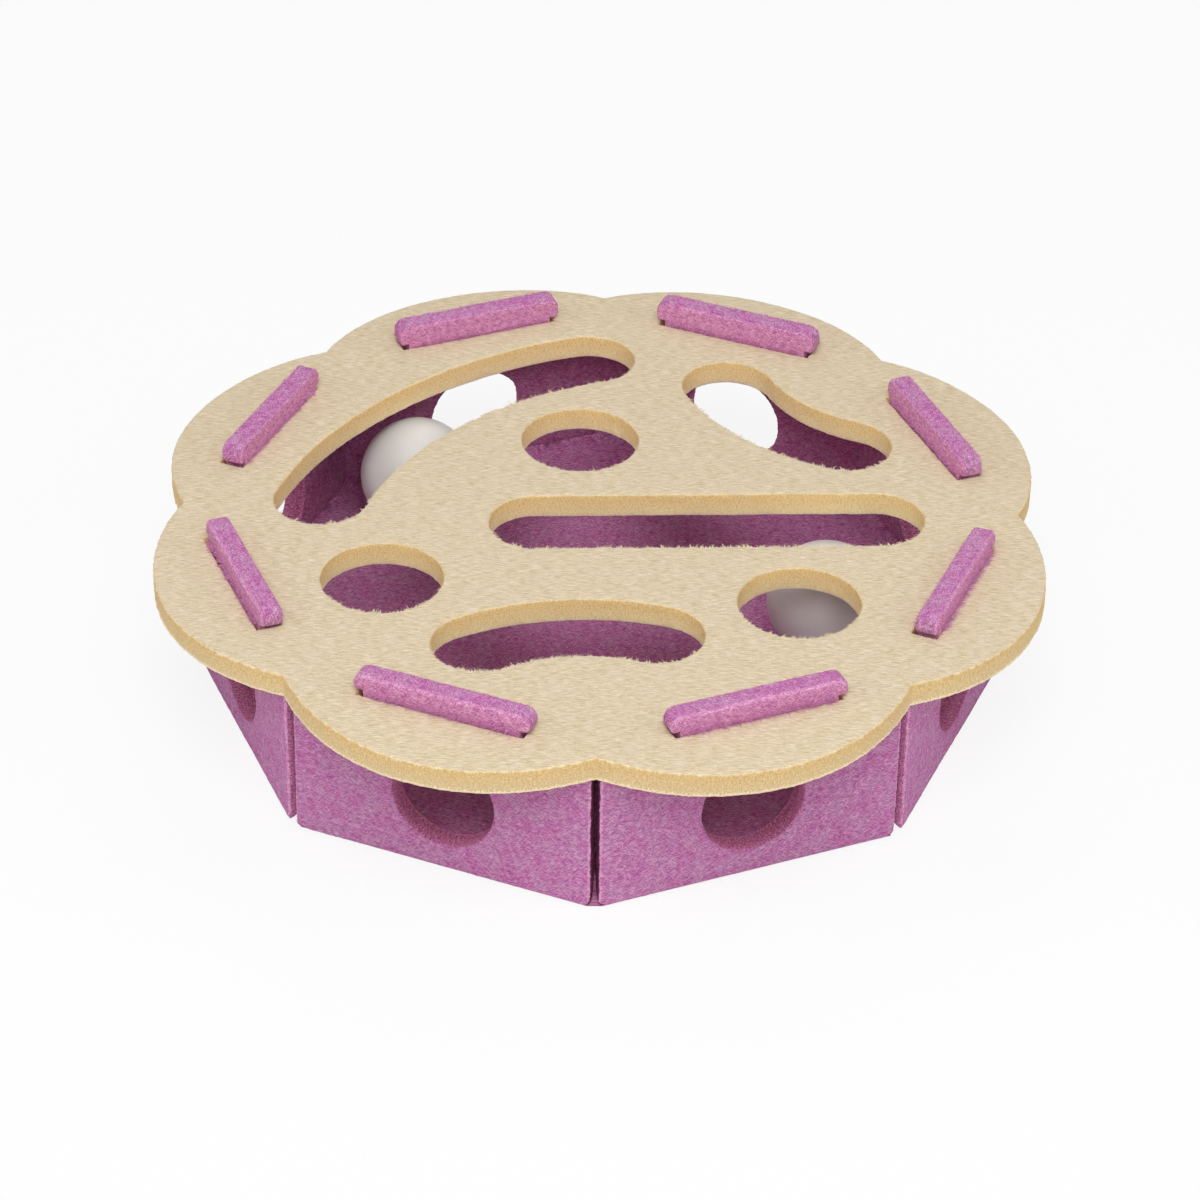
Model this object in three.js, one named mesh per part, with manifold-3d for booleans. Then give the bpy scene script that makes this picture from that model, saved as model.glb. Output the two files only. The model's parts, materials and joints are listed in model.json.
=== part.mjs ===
// Felt activity box for cats: an octagonal body folded up from one thick sheet, a scalloped lid that
// slips over a tab on every wall, and two loose hollow balls to fish for through the cut-outs.
// Millimetres, +Z up. The origin is on the floor under the middle of the body, and -Y faces the viewer.

import * as THREE from 'three';
import { mergeVertices } from 'three/addons/utils/BufferGeometryUtils.js';
import Module from 'manifold-3d';

const wasm = await Module();
wasm.setup();

// Body: the base and the eight flaps folded up from it. Walls are listed anticlockwise from the front.
const WALL_NAMES = [
  'wall_front_right',
  'wall_right_front',
  'wall_right_back',
  'wall_back_right',
  'wall_back_left',
  'wall_left_back',
  'wall_left_front',
  'wall_front_left',
];
const WALL_APOTHEM = 127; // middle of the box to the outer face of a wall
const BODY_FELT = 7.5; // thickness of the body sheet
const CORNER_GAP = 0.6; // between neighbouring walls, at their inner edges
const FOLD_RADIUS = 2; // outside of the fold between base and wall
const CREASE_GAP = 0.3; // across the mitred groove between base and wall
const FOOT_CHAMFER = 2.5; // lower corners of a wall
const WALL_HOLE_DIAMETER = 35;
const WALL_HOLE_HEIGHT = 27; // floor to the middle of the hole

// Tabs: one stands on every wall, with a narrow neck in the lid and a wider head above it.
const TAB_NECK_LENGTH = 55.6;
const TAB_HEAD_LENGTH = 59.6;
const TAB_RISE = 7; // above the lid
const TAB_NECK_RISE = 0.3; // of the neck above the lid, before it widens into the head
const TAB_FLARE_RISE = 1; // height over which the head widens
const TAB_CORNER_RADIUS = 3.8;

// Lid: a disc with one round lobe over every wall and a notch over every corner.
const LID_FELT = 8.7;
const LID_LOBE_OVERHANG = 24; // of a lobe beyond the wall below it
const LID_NOTCH_OVERHANG = 0.9; // of a notch beyond the corner below it
const LID_SEAT_GAP = 0.3; // between the walls' shoulders and the lid
const SLIT_OUTER_CLEARANCE = 1.1; // room in a tab's slit for the wall to lean out as the lid comes off
const SLIT_INNER_CLEARANCE = 0.4;
const SLIT_END_CLEARANCE = 0.5;

// Cut-outs in the lid for paws. A slot is a band with round ends along an arc from start to end, and
// bow is how far that arc swings to the left of the straight line between them.
const PAW_HOLE_DIAMETER = 40;
const PAW_HOLES = [
  new THREE.Vector2(-7.4, 42.4),
  new THREE.Vector2(-70.2, -43.1),
  new THREE.Vector2(64.2, -53.5),
];
const PAW_SLOT_WIDTH = 31.6;
const PAW_SLOTS = [
  { start: new THREE.Vector2(-21, -9), end: new THREE.Vector2(91.6, -4.2), bow: 0 },
  { start: new THREE.Vector2(-37.2, -78.6), end: new THREE.Vector2(18.2, -72.5), bow: 5.9 },
  { start: new THREE.Vector2(-93.1, 3.4), end: new THREE.Vector2(-4.8, 95.6), bow: 15.7 },
  { start: new THREE.Vector2(43.3, 79.1), end: new THREE.Vector2(82.9, 41.5), bow: -5.7 },
];

// Balls: thin cups joined at a seam. Each lies a gap away from one wall, some way along it from the wall's
// middle, with its seam tilted in radians.
const BALL_DIAMETER = 40;
const BALL_SKIN = 0.5;
const BALL_SEAM_GAP = 0.3;
const BALL_REST_GAP = 0.3; // above the base
const BALL_HEADROOM = 3.8; // under the lid
const BALL_LEFT_WALL = 'wall_back_left';
const BALL_LEFT_WALL_GAP = 10.5;
const BALL_LEFT_ALONG = 33;
const BALL_LEFT_SEAM_TILT = 0.5;
const BALL_RIGHT_WALL = 'wall_right_front';
const BALL_RIGHT_WALL_GAP = 27.8;
const BALL_RIGHT_ALONG = 25.2;
const BALL_RIGHT_SEAM_TILT = -0.35;

const ARC_STEPS = 8; // half the straight steps of an arc in an outline
const FOLD_STEPS = 2; // straight steps of each half of the fold
const CUP_RINGS = 7; // from the seam of a cup to its pole
const CUP_SIDES = 28;
const CUT_MARGIN = 5; // by which a cutting solid reaches past what it cuts

// Sizes that follow from the ones above
const STEP_ANGLE = (2 * Math.PI) / WALL_NAMES.length;
const FIRST_WALL_ANGLE = -Math.PI / 2 + STEP_ANGLE / 2;
const CORNER_RADIUS = WALL_APOTHEM / Math.cos(STEP_ANGLE / 2);
const INNER_APOTHEM = WALL_APOTHEM - BODY_FELT;
const WALL_LENGTH = 2 * INNER_APOTHEM * Math.tan(STEP_ANGLE / 2) - CORNER_GAP;
const LID_BOTTOM = BODY_FELT + BALL_REST_GAP + BALL_DIAMETER + BALL_HEADROOM;
const LID_TOP = LID_BOTTOM + LID_FELT;
const WALL_HEIGHT = LID_BOTTOM - LID_SEAT_GAP;
const TAB_TOP = LID_TOP + TAB_RISE;
const SLIT_LENGTH = TAB_HEAD_LENGTH + 2 * SLIT_END_CLEARANCE;
const BALL_RADIUS = BALL_DIAMETER / 2;

const bodyFelt = new THREE.MeshStandardMaterial({ color: 0xa9679b, roughness: 0.95, metalness: 0 });
const lidFelt = new THREE.MeshStandardMaterial({ color: 0xdfcbaa, roughness: 0.95, metalness: 0 });
const ballPlastic = new THREE.MeshStandardMaterial({ color: 0xe9e7e6, roughness: 0.4, metalness: 0 });

function wallAngle(wallName) {
  return FIRST_WALL_ANGLE + WALL_NAMES.indexOf(wallName) * STEP_ANGLE;
}

// A copy of a geometry with shared corners merged and no collapsed triangles, as a lathe leaves at its axis.
function mergedGeometry(geometry) {
  const bare = geometry.clone();
  bare.deleteAttribute('normal');
  bare.deleteAttribute('uv');
  const merged = mergeVertices(bare);
  const corners = [];
  for (let i = 0; i < merged.index.count; i += 3) {
    const triangle = [merged.index.getX(i), merged.index.getX(i + 1), merged.index.getX(i + 2)];
    if (new Set(triangle).size === 3) corners.push(...triangle);
  }
  merged.setIndex(corners);
  merged.computeVertexNormals();
  return merged;
}

function solidFrom(geometry) {
  const merged = mergedGeometry(geometry);
  const vertProperties = new Float32Array(merged.attributes.position.array);
  const triVerts = new Uint32Array(merged.index.array);
  return new wasm.Manifold(new wasm.Mesh({ numProp: 3, vertProperties, triVerts }));
}

function geometryFrom(solid) {
  const mesh = solid.getMesh();
  const geometry = new THREE.BufferGeometry();
  geometry.setAttribute('position', new THREE.BufferAttribute(mesh.vertProperties, mesh.numProp));
  geometry.setIndex(new THREE.BufferAttribute(mesh.triVerts, 1));
  geometry.computeVertexNormals();
  return geometry;
}

function namedMesh(name, geometry, material) {
  const mesh = new THREE.Mesh(geometry, material);
  mesh.name = name;
  return mesh;
}

// One side of the fold's round, as points from the flat side of the sheet to the mitre: distance from
// the outer corner, measured inwards along the sheet, and distance in from the sheet's outer face.
function foldRound() {
  const points = [];
  for (let i = 0; i <= FOLD_STEPS; i += 1) {
    const turn = (i / FOLD_STEPS) * (Math.PI / 4);
    points.push({
      along: FOLD_RADIUS * (1 - Math.sin(turn)),
      depth: FOLD_RADIUS * (1 - Math.cos(turn)),
    });
  }
  return points;
}

// The base: rings of the same octagon, blunt at its corners, stacked up the fold's round and the mitre.
function baseGeometry() {
  const mitreSetback = CREASE_GAP * Math.SQRT2;
  const rings = foldRound().map(({ along, depth }) => ({ apothem: WALL_APOTHEM - along, z: depth }));
  rings[rings.length - 1].apothem -= mitreSetback;
  rings.push({ apothem: INNER_APOTHEM - mitreSetback, z: BODY_FELT });

  const ringSize = 2 * WALL_NAMES.length;
  const vertices = [];
  for (const { apothem, z } of rings) {
    const half = Math.min(WALL_LENGTH / 2, apothem * Math.tan(STEP_ANGLE / 2) - CORNER_GAP / 2);
    for (const wallName of WALL_NAMES) {
      const angle = wallAngle(wallName);
      for (const side of [-half, half]) {
        const x = apothem * Math.cos(angle) - side * Math.sin(angle);
        const y = apothem * Math.sin(angle) + side * Math.cos(angle);
        vertices.push(x, y, z);
      }
    }
  }

  const corners = [];
  for (let i = 1; i < ringSize - 1; i += 1) {
    const top = (rings.length - 1) * ringSize;
    corners.push(0, i + 1, i);
    corners.push(top, top + i, top + i + 1);
  }
  for (let ring = 0; ring < rings.length - 1; ring += 1) {
    for (let i = 0; i < ringSize; i += 1) {
      const a = ring * ringSize + i;
      const b = ring * ringSize + ((i + 1) % ringSize);
      corners.push(a, b, b + ringSize);
      corners.push(a, b + ringSize, a + ringSize);
    }
  }
  const geometry = new THREE.BufferGeometry();
  geometry.setAttribute('position', new THREE.Float32BufferAttribute(vertices, 3));
  geometry.setIndex(corners);
  geometry.computeVertexNormals();
  return geometry;
}

// A wall seen from outside: blunt feet, shoulders for the lid, the tab between them and a round hole.
function wallOutline() {
  const half = WALL_LENGTH / 2;
  const neck = TAB_NECK_LENGTH / 2;
  const head = TAB_HEAD_LENGTH / 2;
  const neckTop = LID_TOP + TAB_NECK_RISE;
  const flareTop = neckTop + TAB_FLARE_RISE;
  const outline = new THREE.Shape();
  outline.moveTo(-half + FOOT_CHAMFER, 0);
  outline.lineTo(half - FOOT_CHAMFER, 0);
  outline.lineTo(half, FOOT_CHAMFER);
  outline.lineTo(half, WALL_HEIGHT);
  outline.lineTo(neck, WALL_HEIGHT);
  outline.lineTo(neck, neckTop);
  outline.lineTo(head, flareTop);
  const cornerX = head - TAB_CORNER_RADIUS;
  const cornerZ = TAB_TOP - TAB_CORNER_RADIUS;
  outline.absarc(cornerX, cornerZ, TAB_CORNER_RADIUS, 0, Math.PI / 2, false);
  outline.absarc(-cornerX, cornerZ, TAB_CORNER_RADIUS, Math.PI / 2, Math.PI, false);
  outline.lineTo(-head, flareTop);
  outline.lineTo(-neck, neckTop);
  outline.lineTo(-neck, WALL_HEIGHT);
  outline.lineTo(-half, WALL_HEIGHT);
  outline.lineTo(-half, FOOT_CHAMFER);
  outline.closePath();
  outline.holes.push(roundHole(new THREE.Vector2(0, WALL_HOLE_HEIGHT), WALL_HOLE_DIAMETER));
  return outline;
}

// A wall cut across its length: the fold's round and the mitre at the foot, then two flat faces.
function wallSection() {
  const section = new THREE.Shape();
  const round = foldRound().reverse();
  section.moveTo(WALL_APOTHEM - round[0].depth, round[0].along);
  for (const { along, depth } of round.slice(1)) section.lineTo(WALL_APOTHEM - depth, along);
  section.lineTo(WALL_APOTHEM, TAB_TOP + CUT_MARGIN);
  section.lineTo(INNER_APOTHEM, TAB_TOP + CUT_MARGIN);
  section.lineTo(INNER_APOTHEM, BODY_FELT);
  section.closePath();
  return section;
}

// The wall whose outer face looks along +X of its own frame: its section run along its length, kept
// only inside its outline.
function wallGeometry() {
  const outlineDepth = BODY_FELT + 2 * CUT_MARGIN;
  const outlined = new THREE.ExtrudeGeometry(wallOutline(), {
    depth: outlineDepth,
    bevelEnabled: false,
    curveSegments: ARC_STEPS,
  });
  const outlineFrame = new THREE.Matrix4().makeBasis(
    new THREE.Vector3(0, 1, 0),
    new THREE.Vector3(0, 0, 1),
    new THREE.Vector3(1, 0, 0),
  );
  outlined.applyMatrix4(outlineFrame);
  outlined.translate(INNER_APOTHEM - CUT_MARGIN, 0, 0);

  const sectionDepth = WALL_LENGTH + 2 * CUT_MARGIN;
  const folded = new THREE.ExtrudeGeometry(wallSection(), { depth: sectionDepth, bevelEnabled: false });
  folded.rotateX(Math.PI / 2);
  folded.translate(0, sectionDepth / 2, 0);
  return geometryFrom(solidFrom(outlined).intersect(solidFrom(folded)));
}

// A round hole as two half turns.
function roundHole(centre, diameter) {
  const hole = new THREE.Path();
  hole.absarc(centre.x, centre.y, diameter / 2, 0, Math.PI, false);
  hole.absarc(centre.x, centre.y, diameter / 2, Math.PI, 2 * Math.PI, false);
  return hole;
}

// A paw slot: two sides that follow the arc, or the straight line, and a half turn round each end.
function pawSlot({ start, end, bow }) {
  const half = PAW_SLOT_WIDTH / 2;
  const line = end.clone().sub(start);
  const heading = line.angle();
  const slot = new THREE.Path();
  if (bow === 0) {
    slot.absarc(end.x, end.y, half, heading - Math.PI / 2, heading + Math.PI / 2, false);
    slot.absarc(start.x, start.y, half, heading + Math.PI / 2, heading + 1.5 * Math.PI, false);
    slot.closePath();
    return slot;
  }
  const side = Math.sign(bow);
  const chord = line.length();
  const radius = (chord * chord) / (8 * Math.abs(bow)) + Math.abs(bow) / 2;
  const spread = Math.asin(chord / 2 / radius);
  const middle = start.clone().add(end).multiplyScalar(0.5);
  const left = new THREE.Vector2(-Math.sin(heading), Math.cos(heading));
  const centre = middle.clone().addScaledVector(left, bow - side * radius);
  const swing = heading + (side * Math.PI) / 2;
  const from = swing + side * spread;
  const to = swing - side * spread;
  const turning = side > 0;
  slot.absarc(centre.x, centre.y, radius + half, from, to, turning);
  slot.absarc(end.x, end.y, half, to, to - side * Math.PI, turning);
  slot.absarc(centre.x, centre.y, radius - half, to, from, !turning);
  slot.absarc(start.x, start.y, half, from + side * Math.PI, from, turning);
  return slot;
}

// The slit that a wall's tab comes up through.
function tabSlit(angle) {
  const inner = INNER_APOTHEM - SLIT_INNER_CLEARANCE;
  const outer = WALL_APOTHEM + SLIT_OUTER_CLEARANCE;
  const half = SLIT_LENGTH / 2;
  const around = new THREE.Vector2();
  const corners = [
    new THREE.Vector2(inner, -half),
    new THREE.Vector2(outer, -half),
    new THREE.Vector2(outer, half),
    new THREE.Vector2(inner, half),
  ];
  return new THREE.Path(corners.map((corner) => corner.rotateAround(around, angle)));
}

// The lid: lobes that meet at the notches, with every cut-out and slit through it.
function lidGeometry() {
  const lobePeak = WALL_APOTHEM + LID_LOBE_OVERHANG;
  const notch = CORNER_RADIUS + LID_NOTCH_OVERHANG;
  const halfChord = notch * Math.sin(STEP_ANGLE / 2);
  const rise = lobePeak - notch * Math.cos(STEP_ANGLE / 2);
  const lobeRadius = (halfChord * halfChord + rise * rise) / (2 * rise);
  const lobeDistance = lobePeak - lobeRadius;
  const spread = Math.asin(halfChord / lobeRadius);

  const outline = new THREE.Shape();
  for (const wallName of WALL_NAMES) {
    const angle = wallAngle(wallName);
    const x = lobeDistance * Math.cos(angle);
    const y = lobeDistance * Math.sin(angle);
    outline.absarc(x, y, lobeRadius, angle - spread, angle + spread, false);
    outline.holes.push(tabSlit(angle));
  }
  for (const centre of PAW_HOLES) outline.holes.push(roundHole(centre, PAW_HOLE_DIAMETER));
  for (const slot of PAW_SLOTS) outline.holes.push(pawSlot(slot));

  const settings = { depth: LID_FELT, bevelEnabled: false, curveSegments: ARC_STEPS };
  const geometry = new THREE.ExtrudeGeometry(outline, settings);
  geometry.translate(0, 0, LID_BOTTOM);
  return mergedGeometry(geometry);
}

// Half a ball: a thin cup with its pole up and its rim half the seam's gap above the ball's middle.
function cupGeometry() {
  const rim = BALL_SEAM_GAP / 2;
  const profile = [];
  for (const [radius, fromPole] of [[BALL_RADIUS - BALL_SKIN, true], [BALL_RADIUS, false]]) {
    const lowest = Math.asin(rim / radius);
    for (let i = 0; i <= CUP_RINGS; i += 1) {
      const share = fromPole ? 1 - i / CUP_RINGS : i / CUP_RINGS;
      const height = lowest + share * (Math.PI / 2 - lowest);
      const onAxis = share === 1;
      const away = onAxis ? 0 : radius * Math.cos(height);
      profile.push(new THREE.Vector2(away, radius * Math.sin(height)));
    }
  }
  const cup = new THREE.LatheGeometry(profile, CUP_SIDES);
  cup.rotateX(Math.PI / 2);
  return mergedGeometry(cup);
}

function ballGroup(name, wall, wallGap, along, seamTilt) {
  const angle = wallAngle(wall);
  const reach = INNER_APOTHEM - BALL_RADIUS - wallGap;
  const ball = new THREE.Group();
  const x = reach * Math.cos(angle) - along * Math.sin(angle);
  const y = reach * Math.sin(angle) + along * Math.cos(angle);
  ball.position.set(x, y, BODY_FELT + BALL_REST_GAP + BALL_RADIUS);
  ball.rotation.x = seamTilt;
  const upper = namedMesh(`${name}_upper_cup`, cupGeometry(), ballPlastic);
  const lower = namedMesh(`${name}_lower_cup`, cupGeometry(), ballPlastic);
  lower.rotation.x = Math.PI;
  ball.add(upper, lower);
  return ball;
}

const toy = new THREE.Group();
toy.add(namedMesh('base', baseGeometry(), bodyFelt));
for (const wallName of WALL_NAMES) {
  const wall = namedMesh(wallName, wallGeometry(), bodyFelt);
  wall.rotation.z = wallAngle(wallName);
  toy.add(wall);
}
toy.add(namedMesh('lid', lidGeometry(), lidFelt));
toy.add(
  ballGroup('ball_left', BALL_LEFT_WALL, BALL_LEFT_WALL_GAP, BALL_LEFT_ALONG, BALL_LEFT_SEAM_TILT),
  ballGroup('ball_right', BALL_RIGHT_WALL, BALL_RIGHT_WALL_GAP, BALL_RIGHT_ALONG, BALL_RIGHT_SEAM_TILT),
);

export default toy;
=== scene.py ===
# %% [markdown]
# # A felt activity box for cats, dressed in Blender
# The box is an octagonal tray folded up from thick purple felt, a scalloped cream felt lid that slips over
# a tab on every wall, and two white balls to fish for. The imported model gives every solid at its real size.
# This lesson builds the soft, fibrous surface that felt really has, on exactly those places.

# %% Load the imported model
import json
import math
import random

import bmesh
import bpy
import numpy as np
from mathutils import Matrix, Vector, geometry, kdtree, noise


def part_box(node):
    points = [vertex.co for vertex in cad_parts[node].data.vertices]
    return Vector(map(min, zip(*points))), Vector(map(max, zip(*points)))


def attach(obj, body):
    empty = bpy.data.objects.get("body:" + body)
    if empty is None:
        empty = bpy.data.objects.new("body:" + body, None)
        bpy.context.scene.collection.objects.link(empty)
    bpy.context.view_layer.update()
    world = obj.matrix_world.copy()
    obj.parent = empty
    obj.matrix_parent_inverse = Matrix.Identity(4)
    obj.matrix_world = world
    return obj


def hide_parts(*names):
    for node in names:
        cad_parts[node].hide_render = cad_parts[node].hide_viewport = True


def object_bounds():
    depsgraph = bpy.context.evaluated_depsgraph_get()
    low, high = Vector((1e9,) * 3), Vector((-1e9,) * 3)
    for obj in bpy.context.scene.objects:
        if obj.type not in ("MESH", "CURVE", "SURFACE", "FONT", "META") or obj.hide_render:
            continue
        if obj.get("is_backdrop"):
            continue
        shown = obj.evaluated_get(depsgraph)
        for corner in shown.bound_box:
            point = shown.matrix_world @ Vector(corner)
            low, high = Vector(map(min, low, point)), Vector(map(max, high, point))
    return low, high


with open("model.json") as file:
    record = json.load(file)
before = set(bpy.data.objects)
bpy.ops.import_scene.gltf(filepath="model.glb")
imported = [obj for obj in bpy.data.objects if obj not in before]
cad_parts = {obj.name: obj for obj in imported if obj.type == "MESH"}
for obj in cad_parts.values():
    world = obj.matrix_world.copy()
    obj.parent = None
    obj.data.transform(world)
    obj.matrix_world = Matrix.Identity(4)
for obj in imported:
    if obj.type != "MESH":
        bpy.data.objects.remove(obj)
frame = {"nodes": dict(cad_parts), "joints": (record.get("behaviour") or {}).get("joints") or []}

CAD_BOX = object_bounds()
MM = 0.001

# %% [markdown]
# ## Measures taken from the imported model
# A dressed piece must sit where its solid sits. So the main measures are read from the model instead of
# being typed again: thicknesses and heights from the boxes of the solids, and the distance and direction of
# every wall from the crease that it turns on.

# %% Measure the solids
LID_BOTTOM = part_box("lid")[0].z
LID_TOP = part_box("lid")[1].z
LID_FELT = LID_TOP - LID_BOTTOM
BODY_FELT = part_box("base")[1].z
TAB_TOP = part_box("wall_front_right")[1].z

CREASES = {joint["child"]: joint for joint in frame["joints"] if joint["name"].endswith("_crease")}
WALLS = list(CREASES)
WALL_ANGLE = {}
for wall, crease in CREASES.items():
    WALL_ANGLE[wall] = math.atan2(crease["pos_m"][1], crease["pos_m"][0])
WALL_APOTHEM = Vector(CREASES[WALLS[0]]["pos_m"]).length
INNER_APOTHEM = WALL_APOTHEM - BODY_FELT
HALF_STEP = math.pi / len(WALLS)
LOBE_PEAK = max(Vector(v.co.xy).length for v in frame["nodes"]["lid"].data.vertices)
print(f"wall apothem {WALL_APOTHEM / MM:.1f} mm, lid {LID_BOTTOM / MM:.1f} to {LID_TOP / MM:.1f} mm")

# %% [markdown]
# ## The camera
# The view looks down at the box from the front, with a long lens, so that the eight lobes stay almost as
# regular as they are. A camera can be aimed by hand or with a Track To constraint. Here its three axes are
# worked out from the angles, because a small roll of the horizon can be set in the same step.

# %% Aim the camera
SENSOR = 36.0
LENS = 118.66
ELEVATION = math.radians(34.464)
AZIMUTH = math.radians(0.125)
ROLL = math.radians(0.813)
DISTANCE = 1.3117
LID_MIDDLE_SHIFT = (0.00023, 0.03063)  # of the lid's middle from the middle of the image, right and up


def aimed_camera():
    back = Vector((
        math.sin(AZIMUTH) * math.cos(ELEVATION),
        -math.cos(AZIMUTH) * math.cos(ELEVATION),
        math.sin(ELEVATION),
    ))
    level = Vector((math.cos(AZIMUTH), math.sin(AZIMUTH), 0))
    upright = back.cross(level)
    right = math.cos(ROLL) * level + math.sin(ROLL) * upright
    up = -math.sin(ROLL) * level + math.cos(ROLL) * upright
    place = Vector((0, 0, LID_TOP)) + DISTANCE * back
    place -= LID_MIDDLE_SHIFT[0] * right + LID_MIDDLE_SHIFT[1] * up

    data = bpy.data.cameras.new("photo_view")
    data.sensor_width = SENSOR
    data.lens = LENS
    camera = bpy.data.objects.new("photo_view", data)
    axes = Matrix((right, up, back)).transposed().to_4x4()
    camera.matrix_world = Matrix.Translation(place) @ axes
    bpy.context.scene.collection.objects.link(camera)
    return camera


bpy.context.scene.camera = aimed_camera()
bpy.context.scene.view_settings.view_transform = "Standard"
print("camera at", [round(c, 3) for c in bpy.context.scene.camera.location])

# %% [markdown]
# ## Small helpers for shader nodes
# Materials are node trees. Typing every node and link in full hides what a material does, so a few helpers
# make a node with its settings, a material with one shader in it, and one value or shader from several.
# Colours are written as they look on a screen, and turned into the linear light that shaders work in.

# %% Node helpers


def add_node(tree, kind, **values):
    """A node with input values by socket name, and node settings by attribute name."""
    made = tree.nodes.new(kind)
    for name, value in values.items():
        if hasattr(made, name):
            setattr(made, name, value)
        else:
            made.inputs[name].default_value = value
    return made


def new_material(name, surface):
    """A material with one Principled shader joined to its output. surface holds the shader's plain values."""
    material = bpy.data.materials.new(name)
    material.use_nodes = True
    tree = material.node_tree
    tree.nodes.clear()
    shader = add_node(tree, "ShaderNodeBsdfPrincipled", **surface)
    output = add_node(tree, "ShaderNodeOutputMaterial")
    tree.links.new(shader.outputs["BSDF"], output.inputs["Surface"])
    return material, tree, shader


def put_together(tree, values, operation):
    """Several values taken two by two, such as the greatest of them."""
    total = values[0]
    for value in values[1:]:
        step = add_node(tree, "ShaderNodeMath", operation=operation)
        tree.links.new(total, step.inputs[0])
        tree.links.new(value, step.inputs[1])
        total = step.outputs[0]
    return total


def mixed_shader(tree, share, first, second):
    """A shader between two others."""
    mix = add_node(tree, "ShaderNodeMixShader")
    for socket, output in zip(mix.inputs, (share, first, second)):
        tree.links.new(output, socket)
    return mix.outputs[0]


def srgb(red, green, blue):
    """A screen colour of 0 to 255, as the linear colour that shaders work in."""
    levels = [value / 255 for value in (red, green, blue)]
    linear = [v / 12.92 if v <= 0.04045 else ((v + 0.055) / 1.055) ** 2.4 for v in levels]
    return (*linear, 1.0)


# %% [markdown]
# ## Floor, daylight and lamps
# The box stands on a plain pale table in soft studio light. A white world gives a little even light. One
# broad lamp above the camera does most of the work, and weaker ones in front, at both sides and behind
# open up the walls and the far sides of the cut-outs. The floor and the world look white to the camera,
# yet the floor still takes the box's shadow.

# %% Build the backdrop
WHITE = (1, 1, 1, 1)
WORLD_LIGHT = 0.25
FLOOR_SIZE = 12.0
FLOOR_DROP = 0.0002  # keeps the floor just clear of the felt
FLOOR_SURFACE = {"Base Color": (0.93, 0.93, 0.93, 1), "Roughness": 1.0, "Specular IOR Level": 0.0}
FLOOR_WHITENESS = 0.86  # share of plain white in what the camera sees of the floor


def white_to_camera(tree):
    """1 for rays that look straight, or by gloss or glass, at the backdrop, and 0 for rays that light it."""
    path = add_node(tree, "ShaderNodeLightPath")
    rays = ("Is Camera Ray", "Is Glossy Ray", "Is Transmission Ray")
    return put_together(tree, [path.outputs[ray] for ray in rays], "MAXIMUM")


def studio_world():
    world = bpy.data.worlds.new("studio")
    world.use_nodes = True
    tree = world.node_tree
    tree.nodes.clear()
    soft = add_node(tree, "ShaderNodeBackground", Color=WHITE, Strength=WORLD_LIGHT)
    white = add_node(tree, "ShaderNodeBackground", Color=WHITE, Strength=1.0)
    output = add_node(tree, "ShaderNodeOutputWorld")
    light = mixed_shader(tree, white_to_camera(tree), soft.outputs[0], white.outputs[0])
    tree.links.new(light, output.inputs["Surface"])
    bpy.context.scene.world = world


def pale_floor():
    mesh = bpy.data.meshes.new("floor")
    half = FLOOR_SIZE / 2
    corners = [(-half, -half, 0), (half, -half, 0), (half, half, 0), (-half, half, 0)]
    mesh.from_pydata(corners, [], [(0, 1, 2, 3)])
    floor = bpy.data.objects.new("floor", mesh)
    floor.location.z = -FLOOR_DROP
    bpy.context.scene.collection.objects.link(floor)
    material, tree, shader = new_material("pale_floor", FLOOR_SURFACE)
    white = add_node(tree, "ShaderNodeEmission", Color=WHITE, Strength=1.0)
    share = add_node(tree, "ShaderNodeMath", operation="MULTIPLY")
    share.inputs[1].default_value = FLOOR_WHITENESS
    tree.links.new(white_to_camera(tree), share.inputs[0])
    seen = mixed_shader(tree, share.outputs[0], shader.outputs[0], white.outputs[0])
    tree.links.new(seen, tree.nodes["Material Output"].inputs["Surface"])
    mesh.materials.append(material)
    floor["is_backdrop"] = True


studio_world()
pale_floor()
print("backdrop: floor of", FLOOR_SIZE, "m, world light", WORLD_LIGHT)

# %% Hang the lamps
LAMP_TARGET = Vector((0, 0, 0.04))
LAMPS = {  # place, size across and watts
    "lamp_above": ((0, -0.77, 1.38), 1.3, 14.4),
    "lamp_front": ((0, -1.2, 0.95), 0.9, 2.4),
    "lamp_left": ((-1.35, -0.3, 0.85), 0.8, 2.9),
    "lamp_right": ((1.35, -0.3, 0.85), 0.8, 3.1),
    "lamp_back": ((0, 1.1, 1.15), 1.0, 3.2),
}


def hang_lamp(name, place, size, watts):
    data = bpy.data.lights.new(name, "AREA")
    data.shape = "DISK"
    data.size = size
    data.energy = watts
    light = bpy.data.objects.new(name, data)
    direction = LAMP_TARGET - Vector(place)
    light.rotation_euler = direction.to_track_quat("-Z", "Y").to_euler()
    light.location = place
    bpy.context.scene.collection.objects.link(light)


for name, settings in LAMPS.items():
    hang_lamp(name, *settings)
print("lamps:", *LAMPS)

# %% [markdown]
# ## Felt as a material
# Needle felt is a mat of fibres that mostly lie one way, with many crossing them. No fibre is drawn by
# itself: noise that is stretched into streaks, laid in three directions and bent by a broader noise, gives
# the same heathered look at the right scale. The streaks colour the felt and also lift its surface a
# little. A map named felt gives every face its place in the sheet, in metres, so the grain follows each
# wall round the box.

# %% Values and colours
MIDDLE = 0.5  # the middle value of a noise
MIX_FIRST, MIX_SECOND, MIX_RESULT = 6, 7, 2  # the colour sockets of a Mix node


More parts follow.
